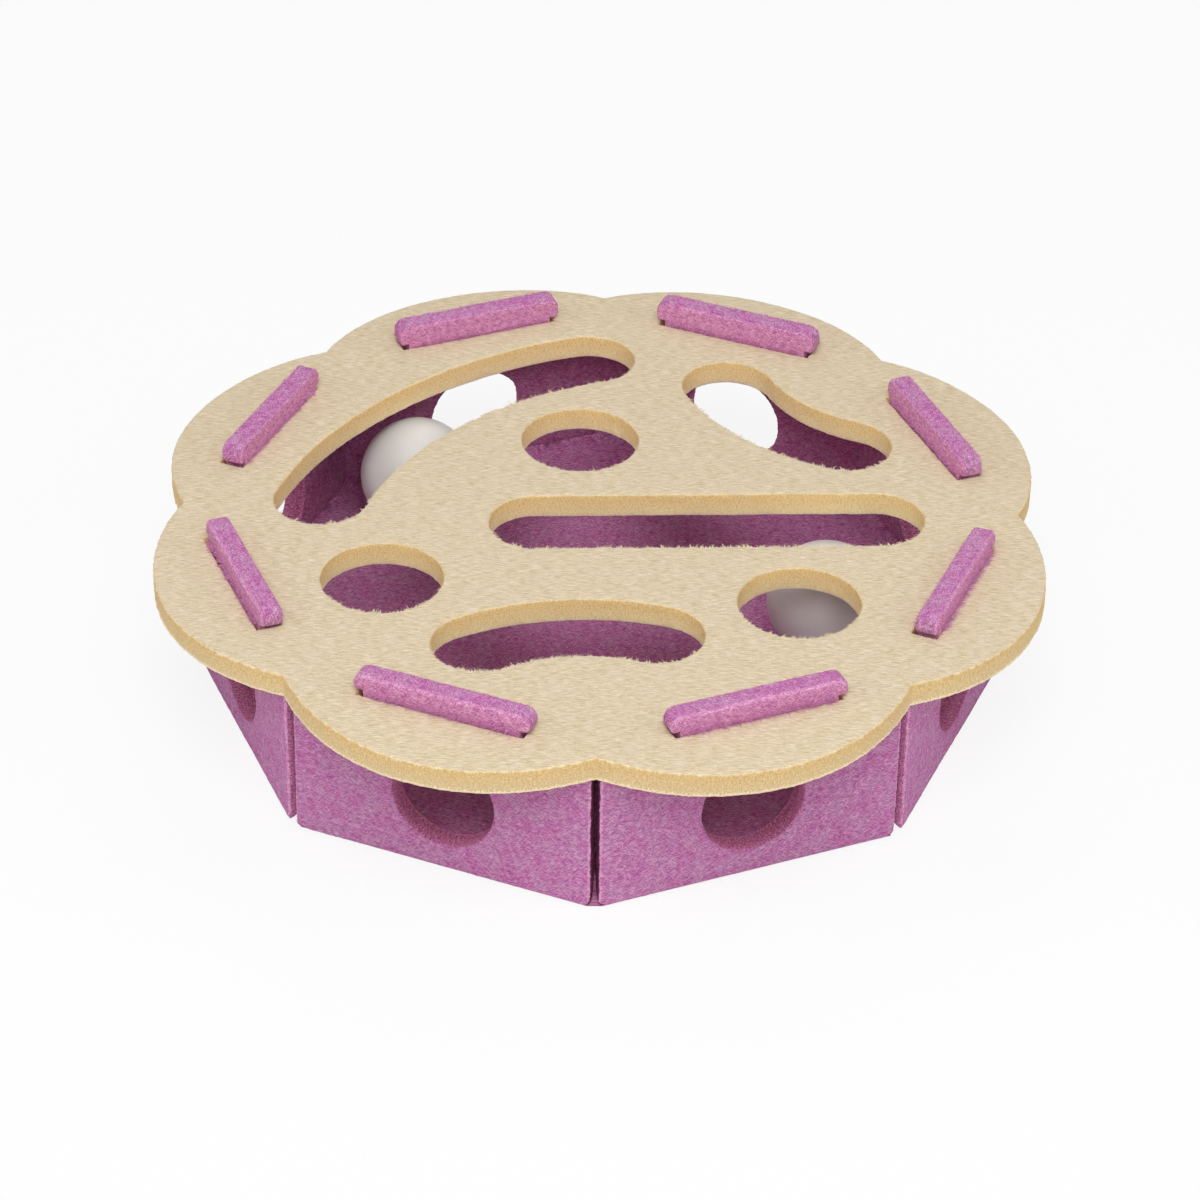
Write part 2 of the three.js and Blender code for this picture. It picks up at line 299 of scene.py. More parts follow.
def weighted_sum(tree, parts):
    """The sum of several values, each times its weight."""
    total = None
    for value, weight in parts:
        step = add_node(tree, "ShaderNodeMath", operation="MULTIPLY_ADD")
        step.inputs[1].default_value = weight
        step.inputs[2].default_value = 0.0
        tree.links.new(value, step.inputs[0])
        if total is not None:
            tree.links.new(total, step.inputs[2])
        total = step.outputs[0]
    return total


def share_between(tree, value, low, high):
    """0 where a value is low, 1 where it is high."""
    share = add_node(tree, "ShaderNodeMapRange", **{"From Min": low, "From Max": high})
    tree.links.new(value, share.inputs["Value"])
    return share.outputs[0]


def mixed(tree, share, first, second):
    """A colour between two others."""
    mix = add_node(tree, "ShaderNodeMix", data_type="RGBA")
    tree.links.new(share, mix.inputs[0])
    tree.links.new(first, mix.inputs[MIX_FIRST])
    tree.links.new(second, mix.inputs[MIX_SECOND])
    return mix.outputs[MIX_RESULT]


def colour_ramp(tree, value, stops):
    """Colours by value: stops are (position, colour)."""
    ramp = add_node(tree, "ShaderNodeValToRGB")
    elements = ramp.color_ramp.elements
    for position, _ in stops[2:]:
        elements.new(position)
    for element, (position, colour) in zip(elements, sorted(stops, key=lambda stop: stop[0])):
        element.position = position
        element.color = colour
    tree.links.new(value, ramp.inputs["Fac"])
    return ramp.outputs["Color"]


def fibre_shade(tree, tone, spread, fibre):
    """A fibre's dark, middle or light colour, by its tone."""
    dark, middle, light = fibre
    return colour_ramp(tree, tone, [(MIDDLE - spread, dark), (MIDDLE + spread, light), (MIDDLE, middle)])


# %% Felt grain
FELT_MAP = "felt"
WANDER = 1.6 * MM  # how far streaks are moved about
WANDERS_PER_METRE = 0.12 / MM
STREAK_WIDTH = 0.3 * MM
CURL_SIZE = 1.5 * MM
CURL_PATCH_SIZE = 0.8 * CURL_SIZE
CURL_WIDTH = 0.028  # how near to its middle value a noise draws a curly fibre
CURL_PATCHES = (0.5, 0.62)  # values of another noise between which the curly fibres set in


def sheet_place(tree):
    """Where a point lies in its sheet of felt, moved about a little so that streaks aren't straight."""
    place = add_node(tree, "ShaderNodeUVMap", uv_map=FELT_MAP)
    drift = add_node(tree, "ShaderNodeTexNoise", noise_dimensions="2D", Scale=WANDERS_PER_METRE, Detail=2.0)
    tree.links.new(place.outputs["UV"], drift.inputs["Vector"])
    centred = add_node(tree, "ShaderNodeVectorMath", operation="SUBTRACT")
    centred.inputs[1].default_value = (MIDDLE, MIDDLE, MIDDLE)
    tree.links.new(drift.outputs["Color"], centred.inputs[0])
    moved = add_node(tree, "ShaderNodeVectorMath", operation="MULTIPLY_ADD")
    moved.inputs[1].default_value = (WANDER, WANDER, 0)
    tree.links.new(centred.outputs[0], moved.inputs[0])
    tree.links.new(place.outputs["UV"], moved.inputs[2])
    return moved.outputs[0]


def streaks(tree, place, turn, length, width):
    """Noise drawn out into streaks of that length and width, in a direction turned from the sheet's own."""
    turned = add_node(tree, "ShaderNodeMapping", vector_type="TEXTURE")
    turned.inputs["Rotation"].default_value = (0, 0, turn)
    turned.inputs["Scale"].default_value = (length, width, 1)
    tree.links.new(place, turned.inputs["Vector"])
    made = add_node(tree, "ShaderNodeTexNoise", noise_dimensions="2D", Scale=1.0, Detail=2.5, Roughness=0.6)
    tree.links.new(turned.outputs[0], made.inputs["Vector"])
    return made.outputs["Fac"]


def plain_noise(tree, place, size, detail):
    made = add_node(tree, "ShaderNodeTexNoise", noise_dimensions="2D", Scale=1.0 / size, Detail=detail)
    tree.links.new(place, made.inputs["Vector"])
    return made.outputs["Fac"]


def curly_fibres(tree, place):
    """Thin winding lines with gaps: where one noise is near its middle value and another one is high."""
    winding = plain_noise(tree, place, CURL_SIZE, 1.5)
    line = add_node(tree, "ShaderNodeMath", operation="COMPARE")
    line.inputs[1].default_value = MIDDLE
    line.inputs[2].default_value = CURL_WIDTH
    tree.links.new(winding, line.inputs[0])
    patch = share_between(tree, plain_noise(tree, place, CURL_PATCH_SIZE, 2.0), *CURL_PATCHES)
    return put_together(tree, [line.outputs[0], patch], "MULTIPLY")


# %% [markdown]
# The broad faces and the die-cut edges of a sheet differ. On a face the fibres lie flat and cross, and two
# blended fibres show in soft blotches. At a cut they are seen end on: the grain stands across it, and its
# colour changes from one face to the other. Both share one dry surface with a little sheen.

# %% Faces and cuts of felt
FELT_SURFACE = {"Roughness": 0.95, "Specular IOR Level": 0.15, "Sheen Weight": 0.12, "Sheen Roughness": 0.5}
FIBRE_RELIEF = 0.3 * MM
RELIEF_STRENGTH = 0.55
SPECK_SIZE = 0.3 * MM
BLOTCH_SIZE = 7 * MM
BLOTCHES = (0.38, 0.62)  # values of a noise between which one blended fibre gives way to the other
FACE_TONE = (0.42, 0.42, 0.16)  # weights of the lightest streak, the darkest one and the specks
FACE_RELIEF = (0.6, 0.25, 0.15)
FACE_SPREAD = 0.1  # in tone, from a middle fibre to a dark or light one
CUT_STREAK = 2.2 * MM
GRAIN_SIZE = 0.6 * MM
FRAY_SIZE = 2.2 * MM
CUT_TONE = (0.45, 0.55)  # weights of the streaks and of the grain
CUT_SPREAD = 0.145
CUT_BLUR = 0.3  # weight of the grain in the bounds between a cut's colours
HANG_BLUR = (0.2, 0.3)  # weights of the grain and the fraying where fibres of the face end
HANG = (0.22, 0.36)  # the bounds themselves, in shares of the depth
FAR_HALF = (0.38, 0.88)
# where the lighter lip at the far face begins, in shares of the depth; on the lid it is a painted highlight
FAR_LIP = (0.97, 1.05)


def finish_felt(tree, shader, colour, relief, sheen_tint):
    """Joins colour and relief to the shader."""
    bump = add_node(tree, "ShaderNodeBump", Strength=RELIEF_STRENGTH, Distance=FIBRE_RELIEF)
    tree.links.new(relief, bump.inputs["Height"])
    tree.links.new(bump.outputs["Normal"], shader.inputs["Normal"])
    tree.links.new(colour, shader.inputs["Base Color"])
    shader.inputs["Sheen Tint"].default_value = sheen_tint


def felt_face(name, turns, length, curls, first, second):
    """The broad face of a sheet. Where streaks of several directions cross, the lightest and the darkest
    of them show, and curls is the share of light curly fibres. first and second are the dark, middle and
    light fibre colours of two blended fibres."""
    material, tree, shader = new_material(name, FELT_SURFACE)
    place = sheet_place(tree)
    lays = [streaks(tree, place, turn, length, STREAK_WIDTH) for turn in turns]
    over = put_together(tree, lays, "MAXIMUM")
    under = put_together(tree, lays, "MINIMUM")
    grain = (over, under, plain_noise(tree, place, SPECK_SIZE, 1.0))
    tone = weighted_sum(tree, zip(grain, FACE_TONE))
    shades = [fibre_shade(tree, tone, FACE_SPREAD, fibre) for fibre in (first, second)]
    blotch = plain_noise(tree, place, BLOTCH_SIZE, 5.0)
    colour = mixed(tree, share_between(tree, blotch, *BLOTCHES), *shades)
    curly = weighted_sum(tree, [(curly_fibres(tree, place), curls)])
    light = colour_ramp(tree, blotch, [(0.0, first[2]), (1.0, second[2])])
    colour = mixed(tree, curly, colour, light)
    finish_felt(tree, shader, colour, weighted_sum(tree, zip(grain, FACE_RELIEF)), first[2])
    return material


def felt_edge(name, thickness, face, near_face, far_face, lip):
    """A die-cut edge: fibres stand across the cut, and its colours change from one face of the sheet to the
    other. Fibres of the face hang over its top, and it has a lighter lip at the far face. On the lid the
    hanging fibres and the lip are a painted highlight. Each of face, near_face, far_face and lip is a dark,
    middle and light fibre colour."""
    material, tree, shader = new_material(name, FELT_SURFACE)
    place = add_node(tree, "ShaderNodeUVMap", uv_map=FELT_MAP).outputs["UV"]
    across = streaks(tree, place, math.pi / 2, CUT_STREAK, STREAK_WIDTH)
    grain = plain_noise(tree, place, GRAIN_SIZE, 3.0)
    frayed = plain_noise(tree, place, FRAY_SIZE, 2.0)
    tone = weighted_sum(tree, zip((across, grain), CUT_TONE))
    shades = [fibre_shade(tree, tone, CUT_SPREAD, fibre) for fibre in (face, near_face, far_face, lip)]
    parts = add_node(tree, "ShaderNodeSeparateXYZ")
    tree.links.new(place, parts.inputs[0])
    down = (parts.outputs["Y"], 1 / thickness)
    depth = weighted_sum(tree, [down, (grain, CUT_BLUR)])
    hang = weighted_sum(tree, [down, *zip((grain, frayed), HANG_BLUR)])
    colour = shades[0]
    for value, bounds, shade in zip((hang, depth, depth), (HANG, FAR_HALF, FAR_LIP), shades[1:]):
        colour = mixed(tree, share_between(tree, value, *bounds), colour, shade)
    finish_felt(tree, shader, colour, tone, far_face[2])
    return material


# %% Fibre colours
CREAM = (srgb(201, 178, 136), srgb(222, 204, 171), srgb(240, 227, 203))
PALE_CREAM = (srgb(205, 182, 144), srgb(224, 206, 175), srgb(242, 229, 207))
ORCHID = (srgb(152, 70, 130), srgb(193, 113, 171), srgb(226, 162, 206))
LAVENDER = (srgb(158, 89, 142), srgb(193, 129, 176), srgb(226, 182, 210))
# Darker copies of the two purple fibres: painted shade for the floor and the inner faces of the walls.
SHADED_ORCHID = (srgb(138, 60, 116), srgb(188, 107, 162), srgb(222, 156, 200))
SHADED_LAVENDER = (srgb(146, 76, 128), srgb(188, 119, 168), srgb(222, 170, 204))
DIM_ORCHID = (srgb(133, 58, 110), srgb(181, 103, 152), srgb(214, 150, 189))
DIM_LAVENDER = (srgb(141, 73, 120), srgb(181, 115, 158), srgb(214, 164, 193))
LIGHT_ORCHID = (srgb(172, 85, 147), srgb(212, 133, 186), srgb(241, 188, 222))
ROSE = (srgb(174, 89, 146), srgb(214, 137, 186), srgb(243, 194, 222))
GOLDEN = (srgb(210, 171, 111), srgb(229, 195, 136), srgb(241, 215, 165))
STRAW = (srgb(216, 184, 134), srgb(228, 200, 152), srgb(240, 218, 176))
# Lighter copies of GOLDEN and STRAW: painted light for the cuts inside the lid.
PAINTED_LIGHT_GOLDEN = (srgb(239, 197, 122), srgb(255, 221, 151), srgb(255, 236, 186))
PAINTED_LIGHT_STRAW = (srgb(242, 210, 148), srgb(254, 229, 173), srgb(255, 241, 200))
# lighter than the lid's face: painted highlight along the top and the foot of the lid's rim and cuts
HIGHLIGHT_STRAW = (srgb(240, 218, 172), srgb(252, 234, 194), srgb(254, 243, 216))
# a pale orchid for the painted highlight along rounded outer edges
HIGHLIGHT_ORCHID = (srgb(184, 108, 162), srgb(220, 152, 198), srgb(244, 200, 228))
MAROON = (srgb(150, 74, 118), srgb(204, 120, 168), srgb(236, 164, 204))
DARK_MAROON = (srgb(132, 64, 98), srgb(184, 104, 144), srgb(218, 142, 180))
# a dark maroon, painted shade for the ends of the two front walls
SHADE_MAROON = (srgb(80, 34, 58), srgb(116, 56, 86), srgb(150, 84, 116))

# %% Felt finishes
LID_STREAK = 3.8 * MM
BODY_STREAK = 2.6 * MM
LID_TURNS = (0.0, 0.12, -0.16)  # directions of the streaks, in radians
BODY_TURNS = (0.1, 0.85, -0.7)
TAB_EDGE_TURNS = (1.4, 0.6, -0.5)
FEW_CURLS = 0.3
MANY_CURLS = 0.6


def purple_face(name, curls, first, second):
    return felt_face(name, BODY_TURNS, BODY_STREAK, curls, first, second)


LID_FACE = felt_face("cream_felt", LID_TURNS, LID_STREAK, FEW_CURLS, CREAM, PALE_CREAM)
# On the rim and the cuts, the hanging fibres at the top and the lip at the foot are a painted highlight.
LID_RIM = felt_edge("cream_felt_rim", LID_FELT, HIGHLIGHT_STRAW, GOLDEN, STRAW, HIGHLIGHT_STRAW)
# The cuts of the slits, paw holes and slots are lighter copies of the rim's colours: painted light in the
# cut-outs.
LID_CUT = felt_edge("cream_felt_cut_painted_light", LID_FELT, HIGHLIGHT_STRAW, PAINTED_LIGHT_GOLDEN, PAINTED_LIGHT_STRAW, HIGHLIGHT_STRAW)
BODY_FACE = purple_face("purple_felt", MANY_CURLS, ORCHID, LAVENDER)
# The floor and the inner faces of the walls take the darker copies: painted shade for the inside of the box.
SHADED_BODY_FLOOR = purple_face("purple_felt_floor_painted_shade", FEW_CURLS, SHADED_ORCHID, SHADED_LAVENDER)
SHADED_BODY_INSIDE = purple_face("purple_felt_inside_painted_shade", FEW_CURLS, DIM_ORCHID, DIM_LAVENDER)
BODY_EDGE = felt_edge("purple_felt_cut", BODY_FELT, ORCHID, MAROON, DARK_MAROON, MAROON)
# The ends of the two front walls are darker than the other cuts: painted shade of the deep grooves at their
# corners.
SHADED_BODY_END = felt_edge("purple_felt_end_painted_shade", BODY_FELT, ORCHID, SHADE_MAROON, SHADE_MAROON, ROSE)
TAB_FACE = purple_face("purple_felt_tab", MANY_CURLS, LIGHT_ORCHID, ROSE)
TAB_EDGE = felt_face("purple_felt_tab_edge", TAB_EDGE_TURNS, BODY_STREAK, MANY_CURLS, ORCHID, LAVENDER)
# A lighter copy of the tab felt: painted highlight along the rounded outer edges of the tabs and the wall
# ends.
RIDGE_HIGHLIGHT = purple_face("purple_felt_ridge_painted_highlight", MANY_CURLS, ROSE, HIGHLIGHT_ORCHID)
main_finishes = (LID_FACE, LID_RIM, LID_CUT, BODY_FACE, BODY_EDGE, TAB_FACE)
print("main felt finishes:", *[finish.name for finish in main_finishes])

# %% [markdown]
# ## Outlines for die-cut felt
# Every felt piece is a flat sheet with a cut outline and cut-outs. Outlines are made of straight runs and
# arcs, laid down in small steps, and each runs round with the felt on its left. That one rule lets the same
# code round the edge of a lobe and of a hole.

# %% Outline helpers
OUTLINE_STEP = 0.55 * MM
LEAST_BISECTOR = 0.5  # keeps the step into a sharp corner short


def arc(centre, radius, start, end):
    """Points along an arc, without its last one."""
    count = max(2, math.ceil(abs(end - start) * radius / OUTLINE_STEP))
    turn = np.linspace(start, end, count, endpoint=False)
    return np.array(centre) + radius * np.stack([np.cos(turn), np.sin(turn)], axis=1)


def run(start, end):
    """Points along a straight run, without its last one."""
    start, end = np.array(start, float), np.array(end, float)
    count = max(1, math.ceil(np.linalg.norm(end - start) / OUTLINE_STEP))
    share = np.linspace(0, 1, count, endpoint=False)[:, None]
    return start + share * (end - start)


def rounded_runs(corners):
    """A closed outline of straight runs between corners (x, y, radius), each rounded off by its radius."""
    bends = []
    for index, (x, y, radius) in enumerate(corners):
        here = np.array((x, y))
        arriving = here - np.array(corners[index - 1][:2])
        leaving = np.array(corners[(index + 1) % len(corners)][:2]) - here
        arriving, leaving = arriving / np.linalg.norm(arriving), leaving / np.linalg.norm(leaving)
        crossed = arriving[0] * leaving[1] - arriving[1] * leaving[0]
        turn = math.atan2(crossed, arriving @ leaving)
        setback = radius * math.tan(abs(turn) / 2)
        side = math.copysign(radius, turn) * np.array([-arriving[1], arriving[0]])
        bends.append((here - arriving * setback, here + leaving * setback, side, turn))
    parts = []
    for (start, end, side, turn), following in zip(bends, bends[1:] + bends[:1]):
        radius = np.linalg.norm(side)
        if radius > 0:
            first = math.atan2(-side[1], -side[0])
            parts.append(arc(start + side, radius, first, first + turn))
        parts.append(run(end, following[0]))
    return np.concatenate(parts)


def cut_out(outline):
    """The same outline as a hole: it runs the other way round, so that the felt is on its left again."""
    return outline[::-1]


def into_felt(points):
    """For each point of an outline, the step towards the felt that moves both its sides in by 1."""
    before = points - np.roll(points, 1, axis=0)
    after = np.roll(points, -1, axis=0) - points
    sides = []
    for edge in (before, after):
        unit = edge / np.linalg.norm(edge, axis=1, keepdims=True)
        sides.append(np.stack([-unit[:, 1], unit[:, 0]], axis=1))
    bisector = sides[0] + sides[1]
    length = np.maximum((bisector ** 2).sum(axis=1, keepdims=True), LEAST_BISECTOR)
    return bisector * 2 / length


# %% [markdown]
# ## A thick sheet with soft edges
# A solid can be extruded and bevelled with modifiers, but felt needs many small faces all over, so that it
# can be uneven and bend. The sheet is therefore built directly. Rings of points carry the outline round
# the soft edge from the front face to the back one, and a Delaunay triangulation fills each face with
# points of about one size. A sheet is thought of flat: across, along, and depth below its front face.

# %% Edge of a sheet
EDGE_STEPS = 4
SIDE_STEPS = 4
RAGGED = 0.32 * MM  # how far the cut wanders in and out
RAGGED_SIZE = 0.9 * MM
RAGGED_DEPTH = 0.5  # share of the depth that counts, so that the wandering is drawn out down the cut


def raggedness(points, depth):
    """How far each point of a cut lies in or out of its true outline."""
    sampled = [Vector((x, y, z)) / RAGGED_SIZE for (x, y), z in zip(points, depth * RAGGED_DEPTH)]
    return RAGGED * np.array([noise.noise(place) for place in sampled])


def soft_edge(points, thickness, front_radius, back_radius):
    """Rings of an outline from the front face, over both rounded edges, to the back face."""
    inward = into_felt(points)
    front = np.broadcast_to(front_radius, len(points))
    back = np.broadcast_to(back_radius, len(points))
    rings = []
    for step in range(EDGE_STEPS):
        turn = math.pi / 2 * step / EDGE_STEPS
        rings.append((math.sin(turn), front * (1 - math.sin(turn)), front * (1 - math.cos(turn))))
    for step in range(SIDE_STEPS + 1):
        share = step / SIDE_STEPS
        rings.append((1, np.zeros(len(points)), front + share * (thickness - front - back)))
    for step in reversed(range(EDGE_STEPS)):
        turn = math.pi / 2 * step / EDGE_STEPS
        rings.append((math.sin(turn), back * (1 - math.sin(turn)), thickness - back * (1 - math.cos(turn))))
    edge = []
    for share, inset, depth in rings:
        inset = inset + share * raggedness(points, depth)
        edge.append(np.column_stack([points + inward * inset[:, None], depth]))
    return edge


# %% Faces of a sheet
ROW_STEP = 0.87  # between rows of loose points, as a share of their spacing
SCATTER = 0.2  # how far loose points are moved about, in the same shares
EDGE_CLEARANCE = 0.7  # of loose points from a cut
ALL_TRIANGLES = 0  # the kind of triangulation that keeps every triangle
SAME_POINT = 1e-9


def inside_outlines(points, outlines):
    """Which points lie in the felt: inside the outer outline and in no hole."""
    inside = np.zeros(len(points), bool)
    for outline in outlines:
        for a, b in zip(outline, np.roll(outline, -1, axis=0)):
            if a[1] == b[1]:
                continue
            spans = (a[1] > points[:, 1]) != (b[1] > points[:, 1])
            crossing = a[0] + (points[:, 1] - a[1]) * (b[0] - a[0]) / (b[1] - a[1])
            inside ^= spans & (points[:, 0] < crossing)
    return inside


def inner_points(outlines, spacing, chance):
    """Slightly scattered points over the felt, clear of its edges."""
    edge = np.concatenate(outlines)
    low, high = edge.min(axis=0), edge.max(axis=0)
    rows = []
    for row, y in enumerate(np.arange(low[1], high[1], spacing * ROW_STEP)):
        xs = np.arange(low[0] + (row % 2) * spacing / 2, high[0], spacing)
        rows.append(np.column_stack([xs, np.full(len(xs), y)]))
    points = np.concatenate(rows)
    points += np.array([[chance.uniform(-SCATTER, SCATTER) for _ in range(2)] for _ in points]) * spacing
    points = points[inside_outlines(points, outlines)]
    tree = kdtree.KDTree(len(edge))
    for index, (x, y) in enumerate(edge):
        tree.insert((x, y, 0), index)
    tree.balance()
    clear = [tree.find((x, y, 0))[2] > spacing * EDGE_CLEARANCE for x, y in points]
    return points[clear]


def fill_face(outlines, loose):
    """Triangles over the felt, as indices into the outlines' points followed by the loose points."""
    points = np.concatenate(outlines + [loose])
    edges = []
    start = 0
    for outline in outlines:
        count = len(outline)
        edges += [(start + i, start + (i + 1) % count) for i in range(count)]
        start += count
    vertices = [Vector(point) for point in points]
    _, _, faces, origin, _, _ = geometry.delaunay_2d_cdt(vertices, edges, [], ALL_TRIANGLES, SAME_POINT)
    faces = np.array([[origin[corner][0] for corner in face] for face in faces])
    middles = points[faces].mean(axis=1)
    return faces[inside_outlines(middles, outlines)]


# %% [markdown]
# The rings and the filled faces now become one closed mesh. Each corner of a face also gets its place in
# the felt map: across and along the sheet on the broad faces, and along the cut and down into it on the
# edges. Hand-cut felt is never quite even, so every point is pushed about a little by a smooth noise.

# %% Sheet mesh
UNEVEN = ((0.11 * MM, 3.2 * MM), (0.22 * MM, 34 * MM))  # how far points move, and over what distance
NOISE_SEED = 3
GRAIN_SHIFT = (0.371, 0.173)  # between the grain of one sheet and of the next
JOIN_DISTANCE = 1e-6
SHARP = math.radians(55)

noise.seed_set(NOISE_SEED)  # without a seed, noise_vector differs each time Blender starts


def uneven(point, seed):
    moved = Vector(point)
    for reach, distance in UNEVEN:
        moved += reach * noise.noise_vector(Vector(point) / distance + Vector((seed, 0, 0)))
    return moved


def sheet_mesh(name, loops, spacing, place, finish_at, seed):
    """One closed felt sheet. loops are lists of rings, the outer outline first. place turns a point of the
    flat sheet (across, along, depth) into a point of the box. finish_at gives the finish of a part of the
    sheet (front, back, rim or cut) at a flat point."""
    chance = random.Random(seed)
    rings_per_loop = len(loops[0])
    fronts = [rings[0][:, :2] for rings in loops]
    loose = inner_points(fronts, spacing, chance)
    faces = fill_face(fronts, loose)
    thickness = loops[0][-1][:, 2].max()

    flat = [np.concatenate(rings) for rings in loops]
    starts = np.cumsum([0] + [len(points) for points in flat])
    flat.append(np.column_stack([loose, np.zeros(len(loose))]))
    flat.append(np.column_stack([loose, np.full(len(loose), thickness)]))
    flat = np.concatenate(flat)

    front_index = []
    back_index = []
    for start, outline in zip(starts, fronts):
        front_index.append(start + np.arange(len(outline)))
        back_index.append(start + (rings_per_loop - 1) * len(outline) + np.arange(len(outline)))
    front_index.append(starts[-1] + np.arange(len(loose)))
    back_index.append(starts[-1] + len(loose) + np.arange(len(loose)))
    front_index = np.concatenate(front_index)
    back_index = np.concatenate(back_index)

    polygons = []
    felt_places = []
    finishes = []
    shift = Vector([seed * share for share in GRAIN_SHIFT])
    for part, index, order in (("front", front_index, (0, 1, 2)), ("back", back_index, (0, 2, 1))):
        for face in index[faces][:, order]:
            polygons.append(face.tolist())
            felt_places += [(flat[i][0] + shift.x, flat[i][1] + shift.y) for i in face]
            finishes.append(finish_at(part, flat[face[0]]))
    for start, outline in zip(starts, fronts):
        side = "rim" if start == 0 else "cut"
        count = len(outline)
        steps = np.linalg.norm(np.roll(outline, -1, axis=0) - outline, axis=1)
        along = np.concatenate([[0], np.cumsum(steps)]) + shift.x
        for ring in range(rings_per_loop - 1):
            part = side
            if ring < EDGE_STEPS // 2:
                part = "front"
            elif ring >= rings_per_loop - 1 - EDGE_STEPS // 2:
                part = "back"
            on_face = part != side
            for i in range(count):
                j = (i + 1) % count
                here, below = start + ring * count, start + (ring + 1) * count
                face = [here + i, below + i, below + j, here + j]
                polygons.append([int(corner) for corner in face])
                finishes.append(finish_at(part, flat[face[0]]))
                for corner, run_length in zip(face, (along[i], along[i], along[i + 1], along[i + 1])):
                    across, up, depth = flat[corner]
                    felt_places.append((across + shift.x, up + shift.y) if on_face else (run_length, depth))

    mesh = bpy.data.meshes.new(name)
    mesh.from_pydata([place(uneven(point, seed)) for point in flat], [], polygons)
    felt_map = mesh.uv_layers.new(name=FELT_MAP)
    felt_map.data.foreach_set("uv", np.array(felt_places, np.float32).ravel())
    materials = list(dict.fromkeys(finishes))
    for material in materials:
        mesh.materials.append(material)
    mesh.polygons.foreach_set("material_index", [materials.index(finish) for finish in finishes])
    tidy_mesh(mesh)
    piece = bpy.data.objects.new(name, mesh)
    bpy.context.scene.collection.objects.link(piece)
    return piece


def tidy_mesh(mesh):
    """Joins points that fell together, drops collapsed faces, and shades smoothly except at sharp folds."""
    work = bmesh.new()
    work.from_mesh(mesh)
    bmesh.ops.remove_doubles(work, verts=work.verts, dist=JOIN_DISTANCE)
    bmesh.ops.dissolve_degenerate(work, edges=work.edges, dist=JOIN_DISTANCE)
    work.to_mesh(mesh)
    work.free()
    mesh.shade_smooth()
    mesh.set_sharp_from_angle(angle=SHARP)
    mesh.validate()


# %% [markdown]
# ## The lid
# The lid is one die-cut sheet: eight round lobes that meet in notches, a slit over every wall, three round
# paw holes and four paw slots. Its lobes stand out past the walls with nothing under them, and droop a
# little. The drooping is done where the flat sheet is placed, so it bends the whole edge with it.

# %% Lid outline
NOTCH_RADIUS = 138.36 * MM
LID_EDGE_RADIUS = 0.7 * MM
LOBE_DROOP = 1.4 * MM
DROOP_POWER = 1.6
SLIT_CLEARANCE = 0.5 * MM
LID_DRIFT = 0.6 * MM  # of the slits to the left of the walls, as the lid lies on them
SLIT_LENGTH = 56.8 * MM
SLIT_DRIFT = 0.3 * MM  # of the slits to the left of the tabs, which stand a little off their middles
TAB_RIGHT = 1.3 * MM  # by which the tabs stand off the middles of their walls, to the right of the box
TAB_BACK = 2.0 * MM  # and to its back
PAW_HOLE_RADIUS = 20 * MM
PAW_HOLES = [(-7.4, 42.4), (-70.2, -43.1), (64.2, -53.5)]  # mm
PAW_SLOT_HALF_WIDTH = 15.8 * MM
PAW_SLOTS = [  # start and end of each slot's middle line in mm, and its bow to the left in mm
    ((-21, -9), (91.6, -4.2), 0),
    ((-37.2, -78.6), (18.2, -72.5), 5.9),
    ((-93.1, 3.4), (-4.8, 95.6), 15.7),
    ((43.3, 79.1), (82.9, 41.5), -5.7),
]


def lobed_outline():
    half_chord = NOTCH_RADIUS * math.sin(HALF_STEP)
    rise = LOBE_PEAK - NOTCH_RADIUS * math.cos(HALF_STEP)
    radius = (half_chord ** 2 + rise ** 2) / (2 * rise)
    spread = math.asin(half_chord / radius)
    lobes = []
    for wall in WALLS:
        angle = WALL_ANGLE[wall]
        middle = np.array([math.cos(angle), math.sin(angle)]) * (LOBE_PEAK - radius)
        lobes.append(arc(middle, radius, angle - spread, angle + spread))
    return np.concatenate(lobes)


def tab_drift(angle):
    """How far a tab stands along its wall from the wall's middle."""
    return TAB_BACK * math.cos(angle) - TAB_RIGHT * math.sin(angle)


def slit_outline(angle):
    inner = INNER_APOTHEM - SLIT_CLEARANCE - LID_DRIFT * math.cos(angle)
    outer = WALL_APOTHEM + SLIT_CLEARANCE - LID_DRIFT * math.cos(angle)
    outward = np.array([math.cos(angle), math.sin(angle)])
    sideways = np.array([-math.sin(angle), math.cos(angle)])
    middle = tab_drift(angle) + math.copysign(SLIT_DRIFT, math.sin(angle))
    start, end = middle - SLIT_LENGTH / 2, middle + SLIT_LENGTH / 2
    corners = [(inner, start), (outer, start), (outer, end), (inner, end)]
    return rounded_runs([(*(outward * out + sideways * side), 0) for out, side in corners])


